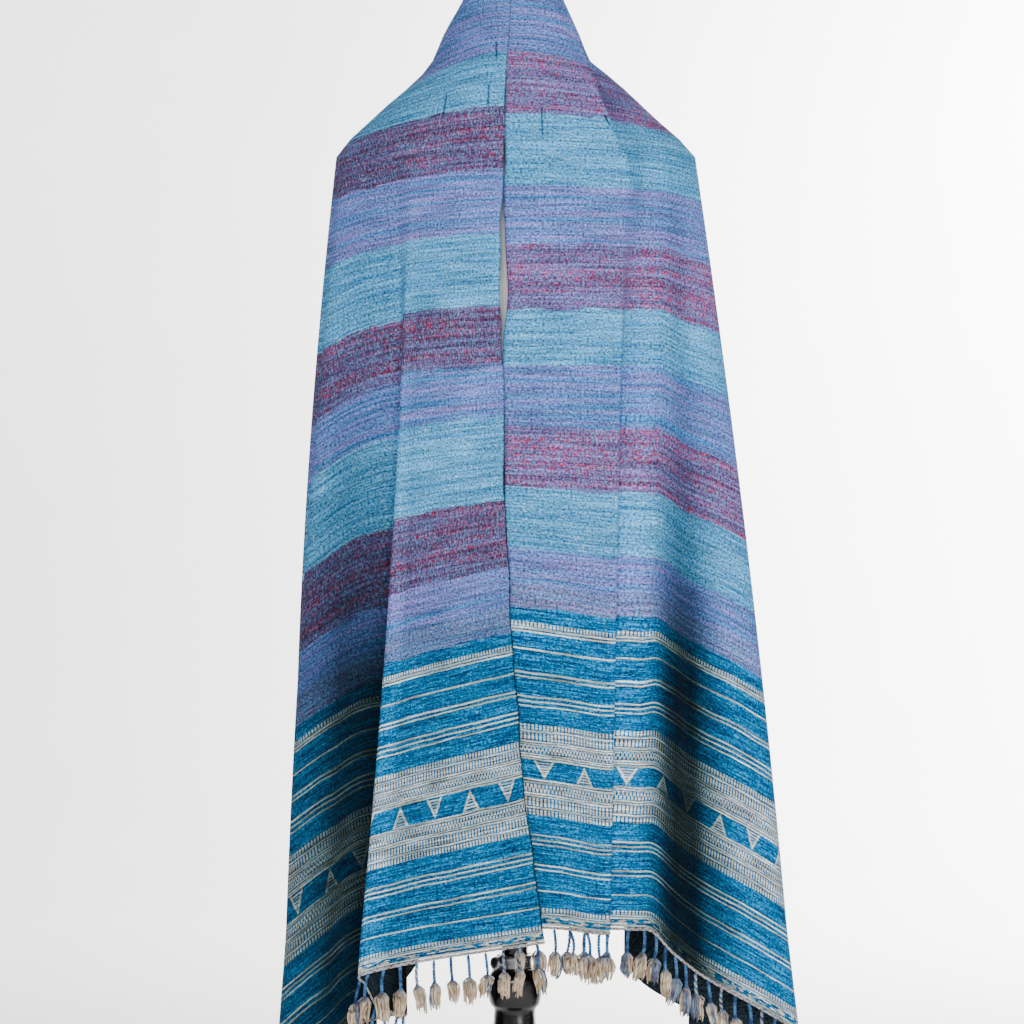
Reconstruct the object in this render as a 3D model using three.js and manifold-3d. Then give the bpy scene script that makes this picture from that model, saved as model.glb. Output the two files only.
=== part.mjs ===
// A handwoven shawl hung like a hood over the neck finial of a limbless dress form on a turned stand.
// Millimetres, +Z up, the front towards -Y. The origin is the centre of the base's underside.
import * as THREE from 'three';
import Module from 'manifold-3d';

const wasm = await Module();
wasm.setup();

// ---- the flat cloth ----
const CLOTH_WIDTH = 760;
const CLOTH_WALL = 1.4;
const STRANDS_PER_END = 48;

// ---- how it hangs ----
const PEAK_Z = 1632;
const SHOULDER_DROP = 234;
const SHOULDER_Z = PEAK_Z - SHOULDER_DROP;
const FALL = 800;
const RING_LENGTH = 416;
const SHOULDER_FRACTION = 0.505;
const FRONT_REACH = 255;
const BACK_REACH = 245;
const SECTION_STEPS = 64;
const COLUMN_PITCH = 33;
const FALL_ROWS = [0.04, 0.1, 0.19, 0.29, 0.4, 0.52, 0.64, 0.76, 0.88, 1];

// Level sections of the hood from the peak to the shoulders: the drop below the peak, the half width to the
// left and right, the depth to front and back, and the roundness (2 is an oval, less is pointed at the shoulders).
const HOOD = [
  { drop: 6, left: 15, right: 15, front: 13, back: 13, round: 2 },
  { drop: 25, left: 30, right: 29, front: 23, back: 24, round: 2 },
  { drop: 70, left: 53, right: 50, front: 37, back: 36, round: 1.95 },
  { drop: 110, left: 75, right: 68, front: 55, back: 50, round: 1.9 },
  { drop: 136, left: 86, right: 79, front: 69, back: 58, round: 1.85 },
  { drop: 152, left: 99, right: 100, front: 77, back: 63, round: 1.8 },
  { drop: 183, left: 135, right: 134, front: 88, back: 71, round: 1.7 },
  { drop: 208, left: 162, right: 161, front: 94, back: 76, round: 1.62 },
  { drop: 224, left: 179, right: 180, front: 97, back: 79, round: 1.6 },
  { drop: SHOULDER_DROP, left: 185, right: 187, front: 98, back: 80, round: 1.6 },
];

// Fall lines of each half, from the front edge round to the centre back. ring is the place on the shoulder
// section as a fraction of its length; out and deep are the plan position at the end of the reference fall, away
// from the centre line and towards the back; along and across are the cloth length and width that one millimetre of
// fall takes up; bulge moves the middle of the fall outwards; hidden is how far a knife pleat returns under itself.
const RIGHT_FOLDS = [
  { name: 'front_edge', ring: 0, out: -6, deep: -112, along: 1, across: 0, bulge: -5, hidden: 0 },
  { name: 'panel', ring: 0.13, out: 47, deep: -119, along: 0.995, across: -0.01, bulge: -2, hidden: 0 },
  { name: 'pleat', ring: 0.262, out: 91, deep: -121, along: 0.985, across: -0.02, bulge: 0, hidden: 38 },
  { name: 'pleat_out', ring: 0.349, out: 99, deep: -105, along: 0.985, across: 0.032, bulge: 0, hidden: 0 },
  { name: 'front_ridge', ring: 0.372, out: 129, deep: -108, along: 0.985, across: 0.055, bulge: 1, hidden: 0 },
  { name: 'slope', ring: 0.4, out: 160, deep: -91, along: 0.952, across: 0.095, bulge: 2, hidden: 0 },
  { name: 'trough', ring: 0.43, out: 187, deep: -73, along: 0.925, across: 0.126, bulge: 3, hidden: 0 },
  { name: 'side_ridge', ring: 0.468, out: 238, deep: -69, along: 0.888, across: 0.177, bulge: 5, hidden: 0 },
  { name: 'outline', ring: 0.497, out: 275, deep: -50, along: 0.857, across: 0.22, bulge: 6, hidden: 0 },
  { name: 'outline_turn', ring: 0.507, out: 274, deep: -31, along: 0.848, across: 0.255, bulge: 6, hidden: 0 },
  { name: 'side_valley', ring: 0.54, out: 182, deep: 17, along: 0.825, across: 0.36, bulge: 0, hidden: 0 },
  { name: 'tail_ridge', ring: 0.6, out: 272, deep: 86, along: 0.781, across: 0.541, bulge: 4, hidden: 0 },
  { name: 'tail_valley', ring: 0.7, out: 119, deep: 92, along: 0.68, across: 0.625, bulge: 0, hidden: 0 },
  { name: 'back_ridge', ring: 0.778, out: 212, deep: 194, along: 0.575, across: 0.74, bulge: 4, hidden: 0 },
  { name: 'back_ridge_turn', ring: 0.8, out: 189, deep: 216, along: 0.535, across: 0.77, bulge: 3, hidden: 0 },
  { name: 'back_valley', ring: 0.852, out: 112, deep: 148, along: 0.43, across: 0.855, bulge: 0, hidden: 0 },
  { name: 'back_valley_turn', ring: 0.87, out: 90, deep: 160, along: 0.395, across: 0.87, bulge: 0, hidden: 0 },
  { name: 'inner_ridge', ring: 0.915, out: 121, deep: 254, along: 0.275, across: 0.925, bulge: 0, hidden: 0 },
  { name: 'inner_ridge_turn', ring: 0.932, out: 91, deep: 266, along: 0.225, across: 0.94, bulge: 0, hidden: 0 },
  { name: 'inner_valley', ring: 0.964, out: 50, deep: 172, along: 0.13, across: 0.97, bulge: 0, hidden: 0 },
  { name: 'inner_valley_turn', ring: 0.976, out: 27, deep: 176, along: 0.09, across: 0.98, bulge: 0, hidden: 0 },
  { name: 'centre_back', ring: 1, out: 0, deep: 246, along: 0, across: 1, bulge: 0, hidden: 0 },
];
const LEFT_FOLDS = [
  { name: 'front_edge', ring: 0, out: -16, deep: -126, along: 1, across: 0, bulge: 8, hidden: 0 },
  { name: 'panel', ring: 0.12, out: 66, deep: -132, along: 0.992, across: 0.04, bulge: 3, hidden: 0 },
  { name: 'fold', ring: 0.25, out: 150, deep: -132, along: 0.972, across: 0.083, bulge: 0, hidden: 42 },
  { name: 'fold_out', ring: 0.327, out: 155, deep: -112, along: 0.925, across: 0.149, bulge: 0, hidden: 0 },
  { name: 'slope', ring: 0.39, out: 190, deep: -95, along: 0.885, across: 0.168, bulge: 3, hidden: 0 },
  { name: 'outline', ring: 0.455, out: 232, deep: -62, along: 0.828, across: 0.19, bulge: 8, hidden: 0 },
  { name: 'side_hollow', ring: 0.485, out: 221, deep: -30, along: 0.82, across: 0.235, bulge: 8, hidden: 0 },
  { name: 'peek_ridge', ring: 0.512, out: 227, deep: -6, along: 0.815, across: 0.28, bulge: 12, hidden: 0 },
  { name: 'side_valley', ring: 0.55, out: 148, deep: 14, along: 0.81, across: 0.39, bulge: 0, hidden: 0 },
  { name: 'tail_ridge', ring: 0.6, out: 234, deep: 84, along: 0.8, across: 0.538, bulge: 2, hidden: 0 },
  { name: 'tail_valley', ring: 0.7, out: 103, deep: 90, along: 0.68, across: 0.63, bulge: 0, hidden: 0 },
  { name: 'back_ridge', ring: 0.775, out: 201, deep: 181, along: 0.575, across: 0.745, bulge: 3, hidden: 0 },
  { name: 'back_ridge_turn', ring: 0.798, out: 178, deep: 204, along: 0.53, across: 0.775, bulge: 2, hidden: 0 },
  { name: 'back_valley', ring: 0.85, out: 106, deep: 140, along: 0.43, across: 0.855, bulge: 0, hidden: 0 },
  { name: 'back_valley_turn', ring: 0.868, out: 84, deep: 153, along: 0.395, across: 0.87, bulge: 0, hidden: 0 },
  { name: 'inner_ridge', ring: 0.912, out: 114, deep: 240, along: 0.28, across: 0.92, bulge: 0, hidden: 0 },
  { name: 'inner_ridge_turn', ring: 0.93, out: 86, deep: 254, along: 0.23, across: 0.935, bulge: 0, hidden: 0 },
  { name: 'inner_valley', ring: 0.962, out: 49, deep: 168, along: 0.135, across: 0.965, bulge: 0, hidden: 0 },
  { name: 'inner_valley_turn', ring: 0.976, out: 28, deep: 174, along: 0.09, across: 0.98, bulge: 0, hidden: 0 },
  { name: 'centre_back', ring: 1, out: 0, deep: 246, along: 0, across: 1, bulge: 0, hidden: 0 },
];
const PLEAT_TURN = 3;
const PLEAT_LAYER = 7;

const RIGHT = { key: 'right', side: 1, length: 1033, edge: -8, shoulderReach: 262, folds: RIGHT_FOLDS };
const LEFT = { key: 'left', side: -1, length: 1046, edge: 15, shoulderReach: 250, folds: LEFT_FOLDS };

// ---- fringe ----
const SEAM_GAP = 1.1;
const STRIP_HEIGHT = 4.2;
const STRIP_THICK = 2.2;
const TASSEL_SPACING = 12.2;
const TASSEL_REACH = 60;
const SETTLE_ROUNDS = 60;
const END_MARGIN = 7;
// Down each strand: the distance below the strip's top and the radius of its three-sided section.
const STRAND = [
  { down: 3, radius: 1.9 },
  { down: 27, radius: 2 },
  { down: 34, radius: 6.2 },
  { down: 50, radius: 5.6 },
];

// ---- dress form and stand ----
const SEAT_GAP = 0.3;
const TORSO_SIDES = 24;
const TORSO_ROUND = 2.15;
// Sections of the padded form: height, half width, depth to front and back.
const TORSO = [
  { z: 790, half: 138, front: 94, back: 82 },
  { z: 806, half: 150, front: 100, back: 88 },
  { z: 880, half: 156, front: 98, back: 92 },
  { z: 960, half: 140, front: 90, back: 84 },
  { z: 1060, half: 118, front: 80, back: 72 },
  { z: 1150, half: 132, front: 86, back: 70 },
  { z: 1240, half: 150, front: 88, back: 72 },
  { z: 1320, half: 158, front: 82, back: 72 },
  { z: 1372, half: 160, front: 70, back: 66 },
  { z: 1398, half: 154, front: 60, back: 60 },
  { z: 1420, half: 136, front: 54, back: 54 },
  { z: 1444, half: 100, front: 50, back: 48 },
  { z: 1466, half: 66, front: 48, back: 45 },
  { z: 1488, half: 52, front: 46, back: 43 },
  { z: 1522, half: 46, front: 42, back: 40 },
];
const FINIAL_TOP = PEAK_Z - CLOTH_WALL / 2 - SEAT_GAP - 0.1;
const POLE_RADIUS = 13.5;
const POLE_BOTTOM = 330;
const FLANGE_RADIUS = 42;
const FLANGE_HEIGHT = 7;
const BORE_RADIUS = POLE_RADIUS + 0.4;
const BORE_BOTTOM = 200;
const COLUMN_BOTTOM = 40;
const COLUMN_TOP = 557;
const CLAMP_HEIGHT = 14;
const CLAMP_RADIUS = 19;
const SCREW_RADIUS = 2.5;
const SCREW_HOLE_RADIUS = SCREW_RADIUS + 0.35;
const KNOB_RADIUS = 7;
const KNOB_LENGTH = 9;
const KNOB_GAP = 1.5;
const ROD_SIDES = 16;
const SCREW_AZIMUTH = THREE.MathUtils.degToRad(222);
const ROUND_SIDES = 28;

// ---- materials ----
const finish = (color, roughness, metalness) => new THREE.MeshStandardMaterial({ color, roughness, metalness });
const MATERIALS = {
  cloth: finish(0x6f93b4, 0.9, 0),
  fringe: finish(0xcfc2ad, 0.95, 0),
  jersey: finish(0xe4e4e6, 0.9, 0),
  blackWood: finish(0x0d0c0d, 0.25, 0),
  steel: finish(0x9a9da0, 0.35, 1),
};

const parts = new THREE.Group();

function addMesh(name, geometry, material) {
  const mesh = new THREE.Mesh(geometry, material);
  mesh.name = name;
  parts.add(mesh);
  return mesh;
}

// ---- closed bodies from points and triangles ----
function indexedGeometry(points, triangles) {
  const geometry = new THREE.BufferGeometry();
  const coordinates = points.flatMap((point) => [point.x, point.y, point.z]);
  geometry.setAttribute('position', new THREE.Float32BufferAttribute(coordinates, 3));
  geometry.setIndex(triangles.flat());
  return geometry;
}

function toSolid(geometry) {
  const vertProperties = new Float32Array(geometry.getAttribute('position').array);
  const triVerts = new Uint32Array(geometry.getIndex().array);
  return new wasm.Manifold(new wasm.Mesh({ numProp: 3, vertProperties, triVerts }));
}

function fromSolid(solid) {
  const { vertProperties, triVerts } = solid.getMesh();
  const geometry = new THREE.BufferGeometry();
  geometry.setAttribute('position', new THREE.BufferAttribute(new Float32Array(vertProperties), 3));
  geometry.setIndex(new THREE.BufferAttribute(new Uint32Array(triVerts), 1));
  return geometry;
}

// Closed loft through rings of equal count. Each ring runs counter-clockwise seen from the last ring's side.
function loft(rings) {
  const count = rings[0].length;
  const points = rings.flat();
  const triangles = [];
  for (let ring = 0; ring < rings.length - 1; ring += 1) {
    for (let i = 0; i < count; i += 1) {
      const next = (i + 1) % count;
      const a = ring * count + i;
      const b = ring * count + next;
      triangles.push([a, b, b + count], [a, b + count, a + count]);
    }
  }
  const last = (rings.length - 1) * count;
  for (let i = 1; i < count - 1; i += 1) {
    triangles.push([0, i + 1, i], [last, last + i, last + i + 1]);
  }
  return indexedGeometry(points, triangles);
}

// A turned piece about +Z: the profile lists [radius, height] from bottom to top.
function turned(profile) {
  const outline = profile.map(([radius, height]) => new THREE.Vector2(radius, height));
  const geometry = new THREE.LatheGeometry(outline, ROUND_SIDES);
  geometry.rotateX(Math.PI / 2);
  return geometry;
}

// ---- drape of the cloth ----
// Half of a level section from the front centre over the side to the back centre, as [out, deep] points.
function sectionCurve(half, front, back, round) {
  const points = [];
  for (let i = 0; i <= SECTION_STEPS; i += 1) {
    const angle = Math.PI * (i / SECTION_STEPS - 0.5);
    const depth = angle < 0 ? front : back;
    const deep = Math.sign(angle) * depth * Math.abs(Math.sin(angle)) ** (2 / round);
    points.push(new THREE.Vector2(half * Math.max(Math.cos(angle), 0) ** (2 / round), deep));
  }
  return points;
}

function pointAlong(points, fraction) {
  const lengths = [0];
  for (let i = 1; i < points.length; i += 1) {
    lengths.push(lengths[i - 1] + points[i].distanceTo(points[i - 1]));
  }
  const target = fraction * lengths[lengths.length - 1];
  let i = 1;
  while (i < points.length - 1 && lengths[i] < target) i += 1;
  const span = (target - lengths[i - 1]) / (lengths[i] - lengths[i - 1]);
  return points[i - 1].clone().lerp(points[i], span);
}

// Knife pleats become their two turns and the return between them, so that each row is one bend of the fall table.
function expandPleats(folds) {
  const rows = [];
  folds.forEach((fold, index) => {
    rows.push(fold);
    if (fold.hidden === 0) return;
    const next = folds[index + 1];
    const turns = [
      { share: 0.06, out: PLEAT_TURN, deep: PLEAT_LAYER * 0.45 },
      { share: 0.12, out: 0, deep: PLEAT_LAYER * 0.9 },
      { share: 0.48, out: PLEAT_TURN - fold.hidden, deep: PLEAT_LAYER },
      { share: 0.54, out: -fold.hidden, deep: PLEAT_LAYER * 1.4 },
      { share: 0.6, out: PLEAT_TURN - fold.hidden, deep: PLEAT_LAYER * 1.85 },
    ];
    turns.forEach((turn) => {
      const mixed = { ...fold, hidden: 0, out: fold.out + turn.out, deep: fold.deep + turn.deep };
      ['ring', 'along', 'across', 'bulge'].forEach((key) => {
        mixed[key] = THREE.MathUtils.lerp(fold[key], next[key], turn.share);
      });
      rows.push(mixed);
    });
  });
  return rows;
}

// Cubic through the rows of a table: distance is the chord length along the fold plan, so bends stay where they are.
class FoldPlan {
  constructor(folds) {
    this.rows = expandPleats(folds);
    this.knots = [0];
    for (let i = 1; i < this.rows.length; i += 1) {
      const a = this.rows[i - 1];
      const b = this.rows[i];
      this.knots.push(this.knots[i - 1] + Math.hypot(b.out - a.out, b.deep - a.deep));
    }
    this.length = this.knots[this.knots.length - 1];
  }

  slope(key, i) {
    const before = Math.max(i - 1, 0);
    const after = Math.min(i + 1, this.rows.length - 1);
    return (this.rows[after][key] - this.rows[before][key]) / (this.knots[after] - this.knots[before]);
  }

  at(distance) {
    let i = 0;
    while (i < this.rows.length - 2 && this.knots[i + 1] < distance) i += 1;
    const span = this.knots[i + 1] - this.knots[i];
    const f = (distance - this.knots[i]) / span;
    const cubic = (key) => {
      const a = this.rows[i][key];
      const b = this.rows[i + 1][key];
      const slopeA = this.slope(key, i) * span;
      const slopeB = this.slope(key, i + 1) * span;
      const bend = (1 + 2 * f) * (1 - f) ** 2 * a + f * (1 - f) ** 2 * slopeA;
      return bend + f * f * (3 - 2 * f) * b + f * f * (f - 1) * slopeB;
    };
    const linear = (key) => THREE.MathUtils.lerp(this.rows[i][key], this.rows[i + 1][key], f);
    return {
      out: cubic('out'),
      deep: cubic('deep'),
      bulge: cubic('bulge'),
      ring: linear('ring'),
      along: linear('along'),
      across: linear('across'),
    };
  }
}

// Where the cloth lies at the shoulder section, as length and width measured from the peak and the front selvage.
function clothAtShoulder(half, ring) {
  if (ring <= SHOULDER_FRACTION) {
    const length = THREE.MathUtils.lerp(FRONT_REACH, half.shoulderReach, ring / SHOULDER_FRACTION);
    return { length, width: ring * RING_LENGTH };
  }
  const turn = ((ring - SHOULDER_FRACTION) / (1 - SHOULDER_FRACTION)) * Math.PI / 2;
  const widthAtSide = SHOULDER_FRACTION * RING_LENGTH;
  return {
    length: half.shoulderReach * Math.cos(turn),
    width: widthAtSide + (BACK_REACH - widthAtSide) * Math.sin(turn),
  };
}

class DrapeHalf {
  constructor(half) {
    Object.assign(this, half);
    this.plan = new FoldPlan(half.folds);
    this.frontFold = half.folds.find((fold) => fold.hidden > 0).ring;
    this.sections = HOOD.map((row) => sectionCurve(row[half.key], row.front, row.back, row.round));
  }

  // A point of the hood on the given section, out from the centre line.
  hoodPlan(level, ring) {
    const point = pointAlong(this.sections[level], ring);
    const share = HOOD[level].front / HOOD[HOOD.length - 1].front;
    point.x += this.edge * share * Math.max(0, 1 - ring / this.frontFold);
    return point;
  }

  column(distance) {
    const row = this.plan.at(distance);
    const ringPoint = this.hoodPlan(HOOD.length - 1, row.ring);
    const start = clothAtShoulder(this, row.ring);
    const hemFall = row.along > 0.001 ? (this.length - start.length) / row.along : Infinity;
    const selvageFall = row.across > 0.001 ? (CLOTH_WIDTH - start.width) / row.across : Infinity;
    return { ...row, half: this, ringPoint, start, hemFall, selvageFall, end: Math.min(hemFall, selvageFall) };
  }

  // Column distances: even along the fold plan, with the corner of the cloth on a column of its own.
  distances() {
    const values = [];
    for (let i = 0; i < this.plan.rows.length - 1; i += 1) {
      const chord = this.plan.knots[i + 1] - this.plan.knots[i];
      const steps = Math.max(1, Math.round(chord / COLUMN_PITCH));
      for (let k = 0; k < steps; k += 1) values.push(this.plan.knots[i] + (chord * k) / steps);
    }
    values.push(this.plan.length);
    const corner = this.cornerDistance();
    const nearest = values.reduce((best, v) => (Math.abs(v - corner) < Math.abs(best - corner) ? v : best));
    values[values.indexOf(nearest)] = corner;
    return values;
  }

  cornerDistance() {
    let low = 0;
    let high = this.plan.length;
    for (let i = 0; i < 40; i += 1) {
      const middle = (low + high) / 2;
      const column = this.column(middle);
      if (column.hemFall < column.selvageFall) low = middle;
      else high = middle;
    }
    return low;
  }
}

function hoodPoint(column, level) {
  const plan = column.half.hoodPlan(level, column.ring);
  return new THREE.Vector3(column.half.side * plan.x, plan.y, PEAK_Z - HOOD[level].drop);
}

function fallPoint(column, fall) {
  const share = fall / FALL;
  const run = new THREE.Vector2(column.out, column.deep).sub(column.ringPoint);
  const plan = column.ringPoint.clone().addScaledVector(run, share);
  plan.x += column.bulge * Math.max(0, 4 * share * (1 - share));
  const down = fall * Math.sqrt(1 - (run.length() / FALL) ** 2);
  return new THREE.Vector3(column.half.side * plan.x, plan.y, SHOULDER_Z - down);
}

// ---- the shawl ----
const rightHalf = new DrapeHalf(RIGHT);
const leftHalf = new DrapeHalf(LEFT);

function clothColumns() {
  const right = rightHalf.distances().map((distance) => rightHalf.column(distance));
  const left = leftHalf.distances().map((distance) => leftHalf.column(distance));
  return [...right, ...left.reverse().slice(1)];
}

function clothGeometry(columns) {
  const middle = columns.map((column) => {
    const hood = HOOD.map((section, level) => hoodPoint(column, level));
    const fall = FALL_ROWS.map((share) => fallPoint(column, share * column.end));
    return [...hood, ...fall];
  });
  const apex = new THREE.Vector3(0, 0, PEAK_Z);
  const lastColumn = columns.length - 1;
  const rows = middle[0].length;
  const at = (i, j) => (j < 0 ? apex : middle[i][Math.min(j, rows - 1)]);
  const normalAt = (i, j) => {
    const sideways = at(Math.min(i + 1, lastColumn), j).clone().sub(at(Math.max(i - 1, 0), j));
    const down = at(i, j + 1).clone().sub(at(i, j - 1));
    return down.cross(sideways).normalize();
  };
  const offset = CLOTH_WALL / 2;
  const points = [];
  [offset, -offset].forEach((shift) => {
    points.push(new THREE.Vector3(0, 0, PEAK_Z + shift));
    for (let i = 0; i <= lastColumn; i += 1) {
      for (let j = 0; j < rows; j += 1) points.push(at(i, j).clone().addScaledVector(normalAt(i, j), shift));
    }
  });
  const inside = points.length / 2;
  const outer = (i, j) => (j < 0 ? 0 : 1 + i * rows + j);
  const inner = (i, j) => inside + outer(i, j);
  const triangles = [];
  for (let i = 0; i < lastColumn; i += 1) {
    triangles.push([outer(i, -1), outer(i, 0), outer(i + 1, 0)], [inner(i, -1), inner(i + 1, 0), inner(i, 0)]);
    for (let j = 0; j < rows - 1; j += 1) {
      triangles.push([outer(i, j), outer(i, j + 1), outer(i + 1, j + 1)]);
      triangles.push([outer(i, j), outer(i + 1, j + 1), outer(i + 1, j)]);
      triangles.push([inner(i, j), inner(i + 1, j + 1), inner(i, j + 1)]);
      triangles.push([inner(i, j), inner(i + 1, j), inner(i + 1, j + 1)]);
    }
    const hem = rows - 1;
    triangles.push([outer(i, hem), inner(i, hem), inner(i + 1, hem)]);
    triangles.push([outer(i, hem), inner(i + 1, hem), outer(i + 1, hem)]);
  }
  for (let j = -1; j < rows - 1; j += 1) {
    triangles.push([outer(0, j), inner(0, j), inner(0, j + 1)], [outer(0, j), inner(0, j + 1), outer(0, j + 1)]);
    const i = lastColumn;
    triangles.push([outer(i, j), inner(i, j + 1), inner(i, j)], [outer(i, j), outer(i, j + 1), inner(i, j + 1)]);
  }
  return indexedGeometry(points, triangles);
}

// ---- fringe: a narrow braided edge under each end hem, with its strands ----
function hemColumns(half) {
  const corner = half.cornerDistance();
  return half.distances().filter((distance) => distance <= corner + 0.001).map((distance) => half.column(distance));
}

function hemPoint(column) {
  return fallPoint(column, column.hemFall);
}

function stripGeometry(half) {
  const columns = hemColumns(half);
  const points = columns.map(hemPoint);
  const rings = points.map((point, i) => {
    const before = points[Math.max(i - 1, 0)];
    const after = points[Math.min(i + 1, points.length - 1)];
    const run = new THREE.Vector2(after.x - before.x, after.y - before.y).normalize();
    const normal = new THREE.Vector3(run.y, -run.x, 0).multiplyScalar(STRIP_THICK / 2);
    const down = fallPoint(columns[i], columns[i].hemFall + 1).sub(point);
    const top = point.clone().addScaledVector(down, SEAM_GAP);
    const bottom = point.clone().addScaledVector(down, SEAM_GAP + STRIP_HEIGHT);
    return [
      top.clone().sub(normal),
      top.clone().add(normal),
      bottom.clone().add(normal),
      bottom.clone().sub(normal),
    ];
  });
  return loft(rings);
}

// Roots evenly spaced across the width of the cloth, found by walking the hem from column to column.
function strandRoots(half) {
  const columns = hemColumns(half);
  const points = columns.map(hemPoint);
  const widths = columns.map((column) => column.start.width + column.across * column.hemFall);
  const pitch = (CLOTH_WIDTH - 2 * END_MARGIN) / (STRANDS_PER_END - 1);
  const roots = [];
  let i = 0;
  for (let k = 0; k < STRANDS_PER_END; k += 1) {
    const width = widths[0] + END_MARGIN + k * pitch;
    while (i < widths.length - 2 && widths[i + 1] < width) i += 1;
    const share = (width - widths[i]) / (widths[i + 1] - widths[i]);
    roots.push(points[i].clone().lerp(points[i + 1], share));
  }
  return roots;
}

// Tassels push each other aside until they hang clear of their neighbours.
function settledTassels(roots) {
  const tips = roots.map((root) => root.clone());
  for (let round = 0; round < SETTLE_ROUNDS; round += 1) {
    for (let i = 0; i < tips.length; i += 1) {
      for (let j = i + 1; j < tips.length; j += 1) {
        const apart = new THREE.Vector2(tips[j].x - tips[i].x, tips[j].y - tips[i].y);
        const level = Math.abs(tips[j].z - tips[i].z);
        const lack = TASSEL_SPACING - apart.length();
        if (level < TASSEL_REACH && lack > 0) {
          const push = apart.length() < 0.001 ? new THREE.Vector2(0, 1) : apart.normalize();
          tips[i].x -= (push.x * lack) / 2;
          tips[i].y -= (push.y * lack) / 2;
          tips[j].x += (push.x * lack) / 2;
          tips[j].y += (push.y * lack) / 2;
        }
      }
    }
  }
  return tips;
}

function strandGeometry(root, tip) {
  const rings = [...STRAND].reverse().map(({ down, radius }) => {
    const sway = Math.min(1, Math.max(0, (down - STRAND[0].down) / (STRAND[2].down - STRAND[0].down)));
    const x = THREE.MathUtils.lerp(root.x, tip.x, sway);
    const y = THREE.MathUtils.lerp(root.y, tip.y, sway);
    const z = root.z - SEAM_GAP - down;
    return [0, 1, 2].map((corner) => {
      const angle = (2 * Math.PI * corner) / 3;
      return new THREE.Vector3(x + radius * Math.cos(angle), y + radius * Math.sin(angle), z);
    });
  });
  return loft(rings);
}

function fringeGeometry(half) {
  const roots = strandRoots(half);
  const tips = settledTassels(roots);
  let solid = toSolid(stripGeometry(half));
  roots.forEach((root, i) => {
    solid = solid.add(toSolid(strandGeometry(root, tips[i])));
  });
  return fromSolid(solid);
}

// ---- dress form and stand ----
function torsoGeometry() {
  const rings = TORSO.map((section) => {
    const ring = [];
    for (let i = 0; i < TORSO_SIDES; i += 1) {
      const angle = (2 * Math.PI * i) / TORSO_SIDES;
      const depth = Math.sin(angle) < 0 ? section.front : section.back;
      const power = 2 / TORSO_ROUND;
      const x = section.half * Math.sign(Math.cos(angle)) * Math.abs(Math.cos(angle)) ** power;
      const y = depth * Math.sign(Math.sin(angle)) * Math.abs(Math.sin(angle)) ** power;
      ring.push(new THREE.Vector3(x, y, section.z));
    }
    return ring;
  });
  return loft(rings);
}

function neckCapGeometry() {
  const seat = TORSO[TORSO.length - 1].z + SEAT_GAP;
  return turned([
    [0, seat], [43, seat], [44.5, seat + 3], [42, seat + 7], [20, seat + 10], [10.5, seat + 17], [9, seat + 34],
    [12, seat + 46], [16, seat + 58], [17.5, seat + 72], [16.5, seat + 86], [14, FINIAL_TOP - 13],
    [10.5, FINIAL_TOP - 8], [6.5, FINIAL_TOP - 4.2], [2.5, FINIAL_TOP - 1.4], [0, FINIAL_TOP],
  ]);
}

function poleGeometry() {
  const top = TORSO[0].z - SEAT_GAP;
  return turned([
    [0, POLE_BOTTOM], [POLE_RADIUS, POLE_BOTTOM], [POLE_RADIUS, top - FLANGE_HEIGHT],
    [FLANGE_RADIUS, top - FLANGE_HEIGHT], [FLANGE_RADIUS, top], [0, top],
  ]);
}

function columnGeometry() {
  const bottom = COLUMN_BOTTOM + SEAT_GAP;
  return turned([
    [0, bottom], [46, bottom], [47, bottom + 8], [40, bottom + 18], [31, bottom + 26], [27, bottom + 44],
    [25, bottom + 90], [27, bottom + 180], [29.5, bottom + 280], [27.5, bottom + 370], [22.5, 500], [21.5, 514],
    [26, 521], [27.8, 532], [27.6, 544], [24.5, 553], [21.5, COLUMN_TOP],
    [BORE_RADIUS, COLUMN_TOP], [BORE_RADIUS, BORE_BOTTOM], [0, BORE_BOTTOM],
  ]);
}

function baseGeometry() {
  return turned([
    [0, 0], [166, 0], [168, 5], [166, 14], [158, 20], [110, 25], [70, 31], [52, COLUMN_BOTTOM], [0, COLUMN_BOTTOM],
  ]);
}

const CLAMP_BOTTOM = COLUMN_TOP + SEAT_GAP;
const SCREW_Z = CLAMP_BOTTOM + CLAMP_HEIGHT / 2;

// The clamp ring's profile closes on itself around the bore, and its wall has a hole for the thumb screw.
function clampRingGeometry() {
  const top = CLAMP_BOTTOM + CLAMP_HEIGHT;
  const ring = turned([
    [BORE_RADIUS, CLAMP_BOTTOM], [CLAMP_RADIUS - 1, CLAMP_BOTTOM], [CLAMP_RADIUS, CLAMP_BOTTOM + 1.5],
    [CLAMP_RADIUS, top - 1.5], [CLAMP_RADIUS - 1, top], [BORE_RADIUS, top], [BORE_RADIUS, CLAMP_BOTTOM],
  ]);
  const hole = rodAlongScrew(POLE_RADIUS - 2, CLAMP_RADIUS + 3, SCREW_HOLE_RADIUS);
  return fromSolid(cleaned(ring).subtract(toSolid(hole)));
}

// Lathe seams are welded so that the body is closed.
function cleaned(geometry) {
  const position = geometry.getAttribute('position');
  const index = geometry.getIndex();
  const points = [];
  const lookup = new Map();
  const triangles = [];
  const vertexOf = (i) => {
    const point = new THREE.Vector3().fromBufferAttribute(position, i);
    const key = point.toArray().map((value) => value.toFixed(3).replace('-0.000', '0.000')).join(' ');
    if (!lookup.has(key)) {
      lookup.set(key, points.length);
      points.push(point);
    }
    return lookup.get(key);
  };
  for (let i = 0; i < index.count; i += 3) {
    const triangle = [vertexOf(index.getX(i)), vertexOf(index.getX(i + 1)), vertexOf(index.getX(i + 2))];
    if (new Set(triangle).size === 3) triangles.push(triangle);
  }
  return toSolid(indexedGeometry(points, triangles));
}

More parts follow.
